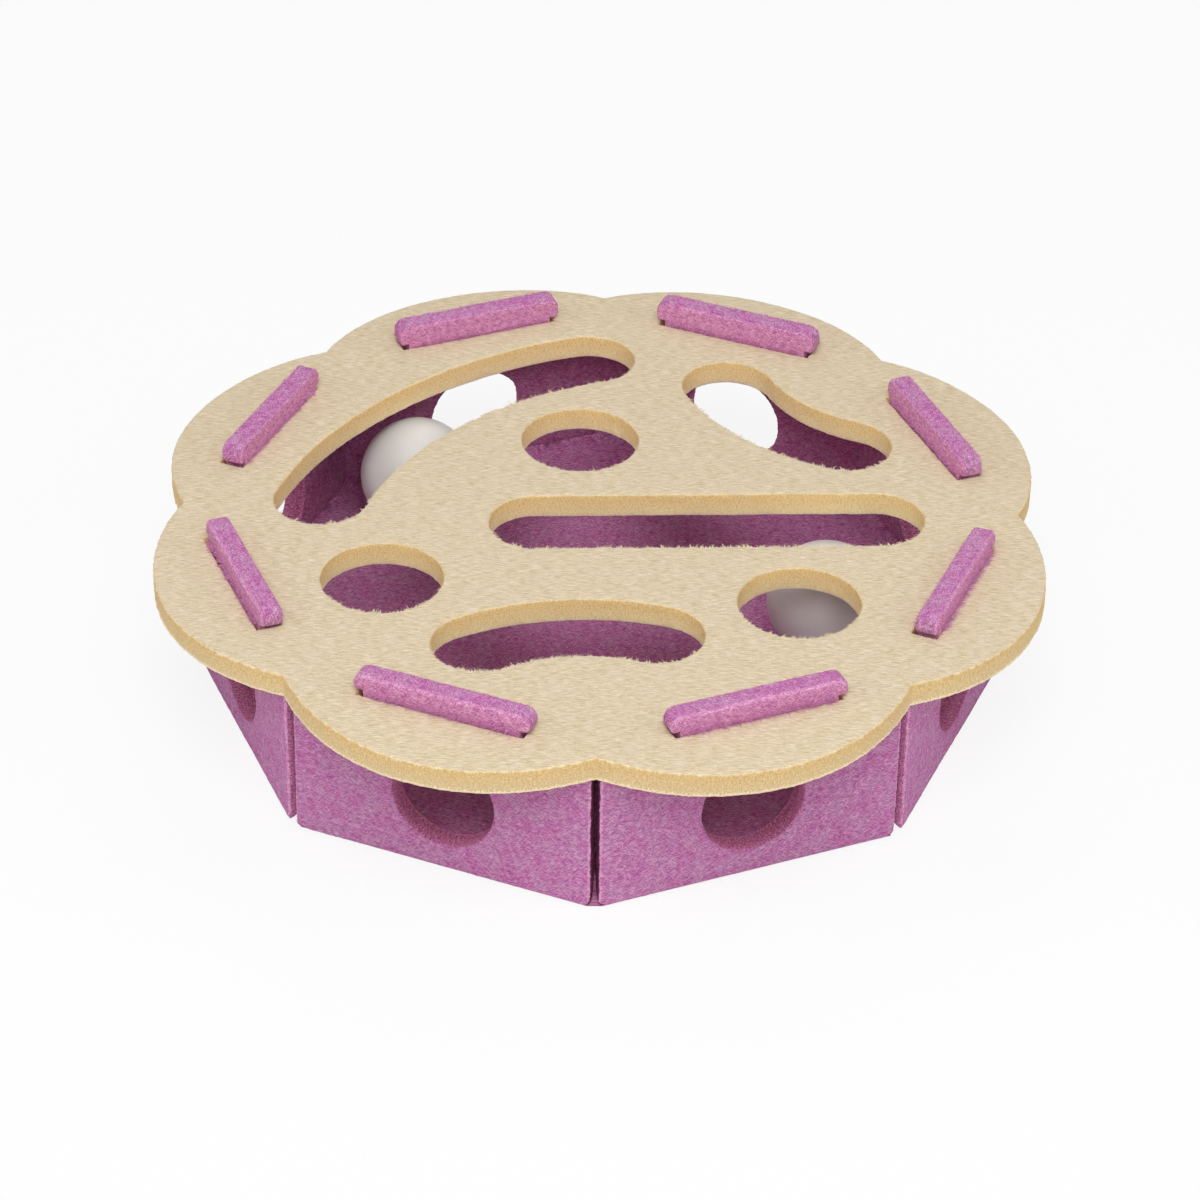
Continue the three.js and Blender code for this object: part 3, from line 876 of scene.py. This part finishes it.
def slot_outline(start, end, bow):
    """A band with round ends, along a straight line or along an arc that bows to the left."""
    start, end, bow = np.array(start) * MM, np.array(end) * MM, bow * MM
    half = PAW_SLOT_HALF_WIDTH
    line = end - start
    heading = math.atan2(line[1], line[0])
    quarter = math.pi / 2
    if bow == 0:
        sideways = half * np.array([-math.sin(heading), math.cos(heading)])
        parts = [
            arc(end, half, heading - quarter, heading + quarter),
            run(end + sideways, start + sideways),
            arc(start, half, heading + quarter, heading + 3 * quarter),
            run(start - sideways, end - sideways),
        ]
        return np.concatenate(parts)
    side = math.copysign(1, bow)
    chord = np.linalg.norm(line)
    radius = chord ** 2 / (8 * abs(bow)) + abs(bow) / 2
    spread = math.asin(chord / 2 / radius)
    left = np.array([-math.sin(heading), math.cos(heading)])
    centre = (start + end) / 2 + left * (bow - side * radius)
    first = heading + side * quarter + side * spread
    last = heading + side * quarter - side * spread
    parts = [
        arc(centre, radius + half, first, last),
        arc(end, half, last, last - side * math.pi),
        arc(centre, radius - half, last, first),
        arc(start, half, first + side * math.pi, first),
    ]
    outline = np.concatenate(parts)
    return outline[::-1] if side > 0 else outline


def lid_outlines():
    outlines = [lobed_outline()]
    outlines += [cut_out(slit_outline(angle)) for angle in WALL_ANGLE.values()]
    for x, y in PAW_HOLES:
        outlines.append(cut_out(arc((x * MM, y * MM), PAW_HOLE_RADIUS, 0, 2 * math.pi)))
    outlines += [cut_out(slot_outline(*slot)) for slot in PAW_SLOTS]
    return outlines


# %% Cut the lid
LID_SPACING = 2.6 * MM
LID_SEED = 3


def outward_reach(across, along):
    """How far out a point lies, square to the wall that it is nearest to."""
    return max(across * math.cos(angle) + along * math.sin(angle) for angle in WALL_ANGLE.values())


def on_lid(point):
    """The lobes hang down a little, most at their tips."""
    across, along, depth = point
    hanging = (outward_reach(across, along) - WALL_APOTHEM) / (LOBE_PEAK - WALL_APOTHEM)
    hanging = min(max(hanging, 0), 1)
    return Vector((across, along, LID_TOP - depth - LOBE_DROOP * hanging ** DROOP_POWER))


def lid_finish(part, point):
    return {"front": LID_FACE, "back": LID_FACE, "rim": LID_RIM, "cut": LID_CUT}[part]


LID_OUTLINES = lid_outlines()
lid_loops = [soft_edge(outline, LID_FELT, LID_EDGE_RADIUS, LID_EDGE_RADIUS) for outline in LID_OUTLINES]
lid = sheet_mesh("lid_felt_sheet", lid_loops, LID_SPACING, on_lid, lid_finish, LID_SEED)
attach(lid, "lid")
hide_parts("lid")
print("lid:", len(lid.data.polygons), "faces")

# %% [markdown]
# ## The base
# The base is the flat middle of the body sheet. At its edge the sheet is creased and folded, so its rim is
# a mitre that meets the mitre of each wall, and its underside turns up in a small round. The rings of its
# edge come from that section, and the corners are cut off blunt.

# %% Cut the base
FOLD_RADIUS = 2.0 * MM
FOLD_LOW = FOLD_RADIUS * (1 - math.sqrt(0.5))  # height at which the round of the fold meets the mitre
CORNER_GAP = 0.02 * MM
CORNER_REACH = 131.5 * MM  # from the middle of the box to a corner of the base, which is cut off blunt
FRONT_CORNER_CUT = 1.0 * MM  # off the front corner, which the base closes at the floor
FRONT_CORNER_HEIGHT = 2.2 * MM
COVE_RISE = 2.2 * MM  # by which the felt bulges up on the inside of the fold
COVE_WIDTH = 6.0 * MM
COVE_RISE_POWER = 2.5
COVE_TUCK = 1.1 * MM  # by which the bulge presses into the wall
COVE_TUCK_POWER = 4
BASE_STEPS = 90
BASE_SPACING = 2.6 * MM
BASE_SEED = 5
HAIR = 0.03 * MM  # keeps folded neighbours from lying in one plane


def corner_half(apothem, height, corner_angle):
    """How far a ring of the base runs along a wall before it is cut off at a corner."""
    closed = abs(corner_angle + math.pi / 2) < HALF_STEP and height < FRONT_CORNER_HEIGHT
    reach = apothem / math.cos(HALF_STEP) - FRONT_CORNER_CUT if closed else CORNER_REACH
    to_cut = (reach - apothem * math.cos(HALF_STEP)) / math.sin(HALF_STEP)
    return min(to_cut, apothem * math.tan(HALF_STEP) - CORNER_GAP / 2)


def base_ring(apothem, depth):
    """The blunt octagon of the base at one depth below its upper face."""
    parts = []
    for wall in WALLS:
        angle = WALL_ANGLE[wall]
        outward = np.array([math.cos(angle), math.sin(angle)])
        sideways = np.array([-math.sin(angle), math.cos(angle)])
        first = corner_half(apothem, BODY_FELT - depth, angle - HALF_STEP)
        last = corner_half(apothem, BODY_FELT - depth, angle + HALF_STEP)
        share = np.linspace(-first, last, BASE_STEPS)
        parts.append(outward * apothem + share[:, None] * sideways)
    points = np.concatenate(parts)
    return np.column_stack([points, np.full(len(points), depth)])


def base_loops():
    rings = []
    for step in range(EDGE_STEPS + SIDE_STEPS + 1):
        share = step / (EDGE_STEPS + SIDE_STEPS)
        height = BODY_FELT + share * (FOLD_LOW - BODY_FELT)
        rings.append(base_ring(WALL_APOTHEM - height - HAIR, BODY_FELT - height))
    for step in range(1, EDGE_STEPS + 1):
        turn = math.pi / 4 * (1 - step / EDGE_STEPS)
        height = FOLD_RADIUS * (1 - math.cos(turn))
        rings.append(base_ring(WALL_APOTHEM - FOLD_RADIUS * (1 - math.sin(turn)) - HAIR, BODY_FELT - height))
    return [rings]


def on_base(point):
    """The felt bulges up towards the fold, so that floor and wall meet softly."""
    across, along, depth = point
    near_fold = min(max(1 - (INNER_APOTHEM - outward_reach(across, along)) / COVE_WIDTH, 0), 1)
    upper = max(1 - 2 * depth / BODY_FELT, 0)
    spread = 1 + COVE_TUCK / INNER_APOTHEM * near_fold ** COVE_TUCK_POWER * upper
    height = BODY_FELT - depth + COVE_RISE * near_fold ** COVE_RISE_POWER * upper
    return Vector((across * spread, along * spread, max(height, 0)))


def base_finish(part, point):
    # The floor, and the mitre above the blunt corner, take the darker finishes: painted shade for the inside
    # of the box.
    if part == "rim":
        return BODY_EDGE if point[2] > BODY_FELT - FRONT_CORNER_HEIGHT else SHADED_BODY_INSIDE
    return {"front": SHADED_BODY_FLOOR, "back": BODY_FACE}[part]


base = sheet_mesh("base_felt_sheet", base_loops(), BASE_SPACING, on_base, base_finish, BASE_SEED)
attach(base, "base")
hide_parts("base")
print("base:", len(base.data.polygons), "faces")

# %% [markdown]
# ## The walls
# Each wall is a flap of the body sheet with a round paw hole and a tab that comes up through the lid. The
# tab's neck is narrower than its head, so the lid stays down. One outline serves all eight, set round the
# box by the angle of their crease: the tabs stand a little to the right and to the back of the box, and
# higher at the back. The edges of the tabs are rounder than the rest, as they are pushed through the slits.

# %% Wall outline
LID_GAP = 0.3 * MM
WALL_HEIGHT = LID_BOTTOM - LID_GAP
CORNER_TOUCH = 0.15 * MM  # by which two neighbours press into each other at a corner
WALL_HALF = INNER_APOTHEM * math.tan(HALF_STEP) + CORNER_TOUCH
FOOT_ROUND = 3.0 * MM
TOP_ROUND = 2.4 * MM
TAB_NECK_HALF = 26.6 * MM
TAB_HEAD_HALF = 29.9 * MM
BACK_TAB_RISE = 1.8 * MM  # by which the tabs at the back stand further out of the lid
FRONT_STRETCH = 1.35 * MM  # by which a wall's outer face is longer than its inner one, at each end
SIDE_STRETCH = 0.6 * MM  # the same on all but the two front walls
END_STRETCH_LENGTH = 12 * MM
TAB_SHOULDER_GAP = 1.1 * MM
TAB_SHOULDER_ROUND = 1.6 * MM
TAB_CORNER_RADIUS = 3.8 * MM
TAB_WEAR_RISE = 3.0 * MM
WALL_HOLE_RADIUS = 17.5 * MM
WALL_HOLE_HEIGHT = 27 * MM
WALL_HOLE_DRIFT = 0.9 * MM
CUT_RADIUS = 0.6 * MM
INNER_CUT_RADIUS = 0.25 * MM
END_RADIUS = 1.2 * MM
END_RADIUS_LENGTH = 3.0 * MM
TAB_EDGE_RADIUS = 1.5 * MM
# how deep from the outer face the painted highlight on the outer edges reaches
RIDGE_HIGHLIGHT_DEPTH = 0.7 * MM
FRONT_WALLS = ("wall_front_left", "wall_front_right")
WALL_SPACING = 2.6 * MM
FIRST_WALL_SEED = 11


def wall_outline(angle):
    """A wall seen from outside. Its tab stands further out at the back."""
    drift = tab_drift(angle)
    top = TAB_TOP + BACK_TAB_RISE * max(math.sin(angle), 0)
    shoulder = LID_TOP + TAB_SHOULDER_GAP
    neck_left, neck_right = drift - TAB_NECK_HALF, drift + TAB_NECK_HALF
    head_left, head_right = drift - TAB_HEAD_HALF, drift + TAB_HEAD_HALF
    return rounded_runs([
        (-WALL_HALF, 0, FOOT_ROUND),
        (WALL_HALF, 0, FOOT_ROUND),
        (WALL_HALF, WALL_HEIGHT, TOP_ROUND),
        (neck_right, WALL_HEIGHT, 0),
        (neck_right, shoulder, 0),
        (head_right, shoulder, TAB_SHOULDER_ROUND),
        (head_right, top, TAB_CORNER_RADIUS),
        (head_left, top, TAB_CORNER_RADIUS),
        (head_left, shoulder, TAB_SHOULDER_ROUND),
        (neck_left, shoulder, 0),
        (neck_left, WALL_HEIGHT, 0),
        (-WALL_HALF, WALL_HEIGHT, TOP_ROUND),
    ])


def wear(height):
    """How much of a tab's rounding there is at a height."""
    return min(max((height - LID_TOP) / TAB_WEAR_RISE, 0), 1)


def edge_radius(across, height):
    """How round a wall's outer edge is: at the fold, at its ends, on the tab, and at plain cuts."""
    folded = min(max(1 - height / FOOT_ROUND, 0), 1)
    near_end = min(max((abs(across) - WALL_HALF) / END_RADIUS_LENGTH + 1, 0), 1)
    rounder = [folded * (FOLD_RADIUS - CUT_RADIUS), near_end * (END_RADIUS - CUT_RADIUS)]
    rounder.append(wear(height) * (TAB_EDGE_RADIUS - CUT_RADIUS))
    return CUT_RADIUS + max(rounder)


def inner_edge_radius(height):
    return INNER_CUT_RADIUS + wear(height) * (TAB_EDGE_RADIUS - INNER_CUT_RADIUS)


# %% Cut the walls


def fold_foot(across, height, depth):
    """Cuts the foot of a wall to the mitre of its crease."""
    height = max(height, 0)
    if depth > height:
        height = max(height, FOLD_LOW)
        depth = height
    return across, height, depth


def on_wall(wall):
    angle = WALL_ANGLE[wall]
    outward = Vector((math.cos(angle), math.sin(angle), 0))
    sideways = Vector((-math.sin(angle), math.cos(angle), 0))
    stretch = FRONT_STRETCH if wall in FRONT_WALLS else SIDE_STRETCH

    def place(point):
        across, height, depth = fold_foot(*point)
        near_end = max(abs(across) - WALL_HALF + END_STRETCH_LENGTH, 0) / END_STRETCH_LENGTH
        across += math.copysign(stretch, across) * near_end * (1 - depth / BODY_FELT)
        return outward * (WALL_APOTHEM - depth) + sideways * across + Vector((0, 0, height))

    return place


def hole_middle(wall):
    return -WALL_HOLE_DRIFT * math.sin(WALL_ANGLE[wall]), WALL_HOLE_HEIGHT


def wall_outlines(wall):
    hole = cut_out(arc(hole_middle(wall), WALL_HOLE_RADIUS, 0, 2 * math.pi))
    return [wall_outline(WALL_ANGLE[wall]), hole]


def wall_loops(wall):
    loops = []
    for outline in wall_outlines(wall):
        front = np.array([edge_radius(*point) for point in outline])
        back = np.array([inner_edge_radius(height) for _, height in outline])
        loops.append(soft_edge(outline, BODY_FELT, front, back))
    return loops


def wall_finish(wall):
    """The outer edges of the tabs and of the wall's ends carry a painted highlight, lighter than the faces
    beside them. The ends of the two front walls are darker than other cuts: painted shade of the deep grooves
    at their corners."""
    # painted shade on the ends of the two front walls
    end = SHADED_BODY_END if wall in FRONT_WALLS else BODY_EDGE
    finishes = {"front": BODY_FACE, "back": SHADED_BODY_INSIDE, "rim": end, "cut": BODY_EDGE}

    def finish_at(part, point):
        across, height, depth = point
        open_edge = height > LID_BOTTOM or abs(across) > WALL_HALF - END_RADIUS_LENGTH
        # painted highlight along the outer edges of the tabs and of the wall ends
        if open_edge and height > FOOT_ROUND and 0 < depth < RIDGE_HIGHLIGHT_DEPTH:
            return RIDGE_HIGHLIGHT
        if height > LID_BOTTOM:
            return TAB_EDGE if part == "rim" else TAB_FACE
        return finishes[part]

    return finish_at


for index, wall in enumerate(WALLS):
    name = wall + "_felt_sheet"
    seed = FIRST_WALL_SEED + index
    piece = sheet_mesh(name, wall_loops(wall), WALL_SPACING, on_wall(wall), wall_finish(wall), seed)
    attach(piece, wall)
    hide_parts(wall)
print("walls:", len(WALLS), "sheets, the last with", len(piece.data.polygons), "faces")

# %% [markdown]
# ## Stray fibres
# What makes a cut edge read as felt is the fringe of loose fibres along it, seen against the dark inside.
# A nap also stands off the tabs just above the lid, and some fibres lie on the walls. Hair particles could
# do this, but they don't export as meshes. Each fibre here is a thin tapering three-sided strand with a
# bend in it, rooted in the felt.

# %% Fibre builder
FIBRE_RINGS = 3
FIBRE_SIDES = 3
FIBRE_BEND = 0.3  # as a share of a fibre's length
FIBRE_SIZES = (0.6, 1.2)  # the thinnest and the thickest, in shares of the usual radius
TUFT_SIZE = 1.2 * MM
TUFTING = 1.2  # how much denser and longer fibres are in a tuft
BETWEEN_TUFTS = 0.1  # share of fibres, and of their length, that is left there
UNBRUSHED = 0.2  # the same where the cut faces away from the lay of the felt
FRONT_EDGE_SHARE = 0.8
ROOT_INSET = 0.5  # of a fibre's root in a soft edge, as a share of the edge's radius
ROOT_DEPTH = 0.4
CUT_REACH = (0.1, 0.7)  # range of lengths at a cut, which tufts change further
CUT_SKEW = 0.6  # how far fibres lean along the cut
CUT_TILT = (-0.2, 0.3)  # and up or down it
NAP_ROOT = 0.3 * MM
NAP_START = 0.1 * MM  # height of the lowest fibres over the lid
NAP_SPREAD = 0.5 * MM
NAP_LIMIT = 4.5 * MM
NAP_REACH = (0.2, 1.0)
NAP_SKEW = 0.9
NAP_TILT = 0.3
LYING_RISE = 0.12 * MM
LYING_REACH = (0.4, 1.0)


class Fringe:
    """Loose fibres of one piece. place turns a point of the flat sheet into a point of the box."""

    def __init__(self, place, radius, chance):
        self.place = place
        self.radius = radius
        self.chance = chance
        self.vertices = []
        self.faces = []

    def strand(self, points, radius):
        """Adds one tapering strand along a few points, closed to a tip at its end."""
        first = len(self.vertices)
        for ring, point in enumerate(points[:-1]):
            ahead = (points[ring + 1] - point).normalized()
            side = ahead.orthogonal().normalized()
            other = ahead.cross(side)
            size = radius * (1 - ring / len(points))
            for corner in range(FIBRE_SIDES):
                turn = 2 * math.pi * corner / FIBRE_SIDES
                self.vertices.append(point + size * (math.cos(turn) * side + math.sin(turn) * other))
        self.vertices.append(points[-1])
        tip = len(self.vertices) - 1
        rings = len(points) - 1
        self.faces.append([first + corner for corner in reversed(range(FIBRE_SIDES))])
        for ring in range(rings):
            for corner in range(FIBRE_SIDES):
                a = first + ring * FIBRE_SIDES + corner
                b = first + ring * FIBRE_SIDES + (corner + 1) % FIBRE_SIDES
                if ring == rings - 1:
                    self.faces.append([a, b, tip])
                else:
                    self.faces.append([a, b, b + FIBRE_SIDES, a + FIBRE_SIDES])

    def loose_fibre(self, root, heading, reach):
        """One strand from a root in the felt, which bends a little on its way."""
        bend = Vector([self.chance.uniform(-FIBRE_BEND, FIBRE_BEND) for _ in range(3)])
        points = [root]
        for ring in range(1, FIBRE_RINGS + 1):
            share = ring / FIBRE_RINGS
            points.append(root + reach * share * (heading.normalized() + bend * share))
        radius = self.radius * self.chance.uniform(*FIBRE_SIZES)
        self.strand([self.place(point) for point in points], radius)

    def along_edge(self, outline, radii, thickness, per_mm, longest):
        """Strands in tufts along a cut, most of them on its front edge, leaning out over the cut. They are
        longest where the cut faces along the lay of the felt."""
        chance = self.chance
        steps = np.roll(outline, -1, axis=0) - outline
        for point, towards, step, radius in zip(outline, into_felt(outline), steps, radii):
            length = np.linalg.norm(step)
            out = -towards / np.linalg.norm(towards)
            brushed = UNBRUSHED + (1 - UNBRUSHED) * max(float(out[1]), 0)
            tuft = max(1 + TUFTING * noise.noise(Vector((*point, radius)) / TUFT_SIZE), BETWEEN_TUFTS)
            for _ in range(int(length / MM * per_mm * tuft * brushed + chance.random())):
                start = point + step * chance.random() - out * radius * ROOT_INSET
                at_front = chance.random() < FRONT_EDGE_SHARE
                depth = radius * ROOT_DEPTH if at_front else chance.uniform(radius, thickness - radius)
                reach = radius * ROOT_INSET + tuft * brushed * chance.uniform(*CUT_REACH) * longest
                ahead = out + chance.uniform(-CUT_SKEW, CUT_SKEW) * step / length
                root = Vector((start[0], start[1], depth))
                self.loose_fibre(root, Vector((*ahead, chance.uniform(*CUT_TILT))), float(reach))

    def nap(self, middle, half, per_mm, longest):
        """Strands that stand off both faces of a tab, most of them low down, next to the lid."""
        chance = self.chance
        for face_depth, away in ((0, -1), (BODY_FELT, 1)):
            for _ in range(int(2 * half / MM * per_mm)):
                across = middle + chance.uniform(-half, half)
                height = LID_TOP + NAP_START + min(chance.expovariate(1 / NAP_SPREAD), NAP_LIMIT)
                root = Vector((across, height, face_depth - away * NAP_ROOT))
                skew = chance.uniform(-NAP_SKEW, NAP_SKEW)
                heading = Vector((skew, chance.uniform(-NAP_TILT, NAP_TILT), away))
                self.loose_fibre(root, heading, NAP_ROOT + chance.uniform(*NAP_REACH) * longest)

    def lying(self, low, high, clear_of, count, longest):
        """Strands that lie on the front face between two corners, in any direction, clear of a round hole."""
        chance = self.chance
        (hole_across, hole_height), hole_radius = clear_of
        for _ in range(count):
            across, height = chance.uniform(low[0], high[0]), chance.uniform(low[1], high[1])
            turn = chance.uniform(0, 2 * math.pi)
            reach = chance.uniform(*LYING_REACH) * longest
            if math.hypot(across - hole_across, height - hole_height) > hole_radius + reach:
                heading = Vector((math.cos(turn), math.sin(turn), -LYING_RISE / reach))
                self.loose_fibre(Vector((across, height, LYING_RISE / 2)), heading, reach)

    def piece(self, name, material):
        mesh = bpy.data.meshes.new(name)
        mesh.from_pydata(self.vertices, [], self.faces)
        mesh.uv_layers.new(name=FELT_MAP)
        mesh.materials.append(material)
        made = bpy.data.objects.new(name, mesh)
        bpy.context.scene.collection.objects.link(made)
        return made


# %% Fibre finish
FIBRE_SURFACE = {"Roughness": 0.9, "Specular IOR Level": 0.1}
TINTS_PER_METRE = 0.6 / MM
TINTS = (0.35, 0.65)  # values of a noise at which a fibre is darkest and lightest
DARKEST_TINT = 0.85


def object_noise(tree, scale, detail):
    """Noise that fills the space of an object."""
    place = add_node(tree, "ShaderNodeTexCoord")
    made = add_node(tree, "ShaderNodeTexNoise", Scale=scale, Detail=detail)
    tree.links.new(place.outputs["Object"], made.inputs["Vector"])
    return made.outputs["Fac"]


def fibre_finish(name, colour):
    """One loose fibre is nearly plain: its colour varies a little from strand to strand."""
    material, tree, shader = new_material(name, FIBRE_SURFACE)
    darker = tuple(DARKEST_TINT * value for value in colour[:3]) + (1,)
    tint = object_noise(tree, TINTS_PER_METRE, 1.0)
    shade = colour_ramp(tree, tint, list(zip(TINTS, (darker, colour))))
    tree.links.new(shade, shader.inputs["Base Color"])
    return material


# %% Fringe the lid
FIBRE_SEED = 29
CUT_FIBRE_RADIUS = 0.17 * MM
CUT_FIBRES_PER_MM = 7.0
SLIT_FIBRES_PER_MM = 1.0
RIM_FIBRES_PER_MM = 1.5
LONGEST_CUT_FIBRE = 2.2 * MM
LONGEST_SLIT_FIBRE = 0.8 * MM
LONGEST_RIM_FIBRE = 0.5 * MM
SLITS = len(WALLS)

CREAM_FIBRE = fibre_finish("cream_fibre", srgb(238, 222, 190))
chance = random.Random(FIBRE_SEED)
fringe = Fringe(on_lid, CUT_FIBRE_RADIUS, chance)
for index, outline in enumerate(LID_OUTLINES):
    per_mm, longest = CUT_FIBRES_PER_MM, LONGEST_CUT_FIBRE
    if index == 0:
        per_mm, longest = RIM_FIBRES_PER_MM, LONGEST_RIM_FIBRE
    elif index <= SLITS:
        per_mm, longest = SLIT_FIBRES_PER_MM, LONGEST_SLIT_FIBRE
    fringe.along_edge(outline, np.full(len(outline), LID_EDGE_RADIUS), LID_FELT, per_mm, longest)
lid_fringe = fringe.piece("lid_stray_fibres", CREAM_FIBRE)
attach(lid_fringe, "lid")
print("lid fringe:", len(fringe.faces), "faces")

# %% Fringe the walls
WALL_FIBRE_RADIUS = 0.16 * MM
WALL_FIBRES_PER_MM = 2.0
LONGEST_WALL_FIBRE = 0.9 * MM
NAP_PER_MM = 7.0
LONGEST_NAP = 2.4 * MM
FRONT_NAP = 0.7  # by how much longer the nap is at the front
NAP_HALF = TAB_NECK_HALF - TAB_EDGE_RADIUS
LYING_COUNT = 900
LYING_RADIUS = 0.09 * MM
LONGEST_LYING = 3.6 * MM

# a light pink, partly the fibres' own colour and partly painted light against the shade that the dense nap
# casts on itself
PURPLE_FIBRE = fibre_finish("purple_fibre", srgb(222, 154, 198))
PALE_PURPLE_FIBRE = fibre_finish("pale_purple_fibre", srgb(232, 190, 220))
for wall in WALLS:
    fringe = Fringe(on_wall(wall), WALL_FIBRE_RADIUS, chance)
    for outline in wall_outlines(wall):
        outline = outline[outline[:, 1] > FOOT_ROUND]
        radii = np.array([edge_radius(*point) for point in outline])
        fringe.along_edge(outline, radii, BODY_FELT, WALL_FIBRES_PER_MM, LONGEST_WALL_FIBRE)
    towards_front = max(-math.sin(WALL_ANGLE[wall]), 0)
    longest = LONGEST_NAP * (1 + FRONT_NAP * towards_front)
    fringe.nap(tab_drift(WALL_ANGLE[wall]), NAP_HALF, NAP_PER_MM, longest)
    wall_fringe = fringe.piece(wall + "_stray_fibres", PURPLE_FIBRE)
    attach(wall_fringe, wall)

    fuzz = Fringe(on_wall(wall), LYING_RADIUS, chance)
    low, high = (-WALL_HALF + FOOT_ROUND, FOOT_ROUND), (WALL_HALF - FOOT_ROUND, WALL_HEIGHT)
    fuzz.lying(low, high, (hole_middle(wall), WALL_HOLE_RADIUS), LYING_COUNT, LONGEST_LYING)
    wall_fuzz = fuzz.piece(wall + "_lying_fibres", PALE_PURPLE_FIBRE)
    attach(wall_fuzz, wall)
print("wall fringe:", len(fringe.faces), "faces on the last wall")

# %% [markdown]
# ## The balls
# A ball is two thin hollow cups of white plastic joined at a seam. Each cup is turned as a lathe does it: a
# profile of the outer skin, the rim and the inner skin is spun round the axis. The skin dips very slightly
# at the seam, so that the joint shows as a fine line.

# %% Ball finish
CLOUDS_PER_METRE = 0.05 / MM
CLOUD_SHADES = [(0.3, srgb(218, 216, 213)), (0.7, srgb(228, 226, 223))]
SCUFFING = {"To Min": 0.34, "To Max": 0.5}  # roughness of the smoothest and the most scuffed places


def white_plastic():
    material, tree, shader = new_material("white_plastic", {})
    cloud = object_noise(tree, CLOUDS_PER_METRE, 3.0)
    tree.links.new(colour_ramp(tree, cloud, CLOUD_SHADES), shader.inputs["Base Color"])
    scuff = add_node(tree, "ShaderNodeMapRange", **SCUFFING)
    tree.links.new(cloud, scuff.inputs["Value"])
    tree.links.new(scuff.outputs[0], shader.inputs["Roughness"])
    return material


WHITE_PLASTIC = white_plastic()
print("ball finish:", WHITE_PLASTIC.name)

# %% Turn the balls
BALL_SKIN = 0.5 * MM
SEAM_GAP = 0.01 * MM
SEAM_DIP = 0.03 * MM
SEAM_WIDTH = 0.5 * MM
CUP_RINGS = 36
CUP_SIDES = 96
POLE_DISTANCE = 1e-7  # within which the points at a cup's pole are joined


def ball_measures(ball):
    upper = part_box(ball + "_upper_cup")
    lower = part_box(ball + "_lower_cup")
    low = Vector([min(a, b) for a, b in zip(upper[0], lower[0])])
    high = Vector([max(a, b) for a, b in zip(upper[1], lower[1])])
    return (low + high) / 2, (high.z - low.z) / 2


def cup_axis(ball, half):
    """The way a cup's pole points: from the ball's middle to the middle of the cup's points."""
    node = frame["nodes"][f"{ball}_{half}_cup"]
    middle, _ = ball_measures(ball)
    points = [v.co for v in node.data.vertices]
    return (sum(points, Vector()) / len(points) - middle).normalized()


def cup_profile(radius):
    """Distance from the axis and height above the seam, from the outer pole round the rim to the inner."""
    down = [(radius, SEAM_DIP, step) for step in range(CUP_RINGS + 1)]
    back_up = [(radius - BALL_SKIN, 0, step) for step in reversed(range(CUP_RINGS + 1))]
    profile = []
    for skin, deepest, step in down + back_up:
        turn = math.pi / 2 * (1 - step / CUP_RINGS)
        height = max(skin * math.sin(turn), SEAM_GAP)
        dip = deepest * max(0, 1 - height / SEAM_WIDTH)
        profile.append((skin * math.cos(turn) - dip, height))
    return profile


def turned_cup(name, middle, radius, axis):
    profile = cup_profile(radius)
    turn = Vector((0, 0, 1)).rotation_difference(axis).to_matrix()
    work = bmesh.new()
    rings = []
    for away, height in profile:
        ring = []
        for side in range(CUP_SIDES):
            angle = 2 * math.pi * side / CUP_SIDES
            point = Vector((away * math.cos(angle), away * math.sin(angle), height))
            ring.append(work.verts.new(middle + turn @ point))
        rings.append(ring)
    for ring, following in zip(rings, rings[1:]):
        for side in range(CUP_SIDES):
            beyond = (side + 1) % CUP_SIDES
            work.faces.new((ring[side], following[side], following[beyond], ring[beyond]))
    mesh = bpy.data.meshes.new(name)
    bmesh.ops.remove_doubles(work, verts=work.verts, dist=POLE_DISTANCE)
    work.to_mesh(mesh)
    work.free()
    mesh.materials.append(WHITE_PLASTIC)
    mesh.shade_smooth()
    mesh.set_sharp_from_angle(angle=SHARP)
    piece = bpy.data.objects.new(name, mesh)
    bpy.context.scene.collection.objects.link(piece)
    return piece


for ball in ("ball_left", "ball_right"):
    middle, radius = ball_measures(ball)
    for half in ("upper", "lower"):
        cup = turned_cup(f"{ball}_{half}_shell", middle, radius, cup_axis(ball, half))
        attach(cup, ball)
        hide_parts(f"{ball}_{half}_cup")
    print(ball, "at", [round(c / MM, 1) for c in middle], "radius", round(radius / MM, 2))

# %% [markdown]
# ## Sizes side by side
# The dressed box must not outgrow its solids, so the box of the solids and the box of the dressed pieces are
# set side by side.

# %% Gather the sizes
boxes = {"cad": CAD_BOX, "visual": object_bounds()}
{name: [list(corner) for corner in box] for name, box in boxes.items()}
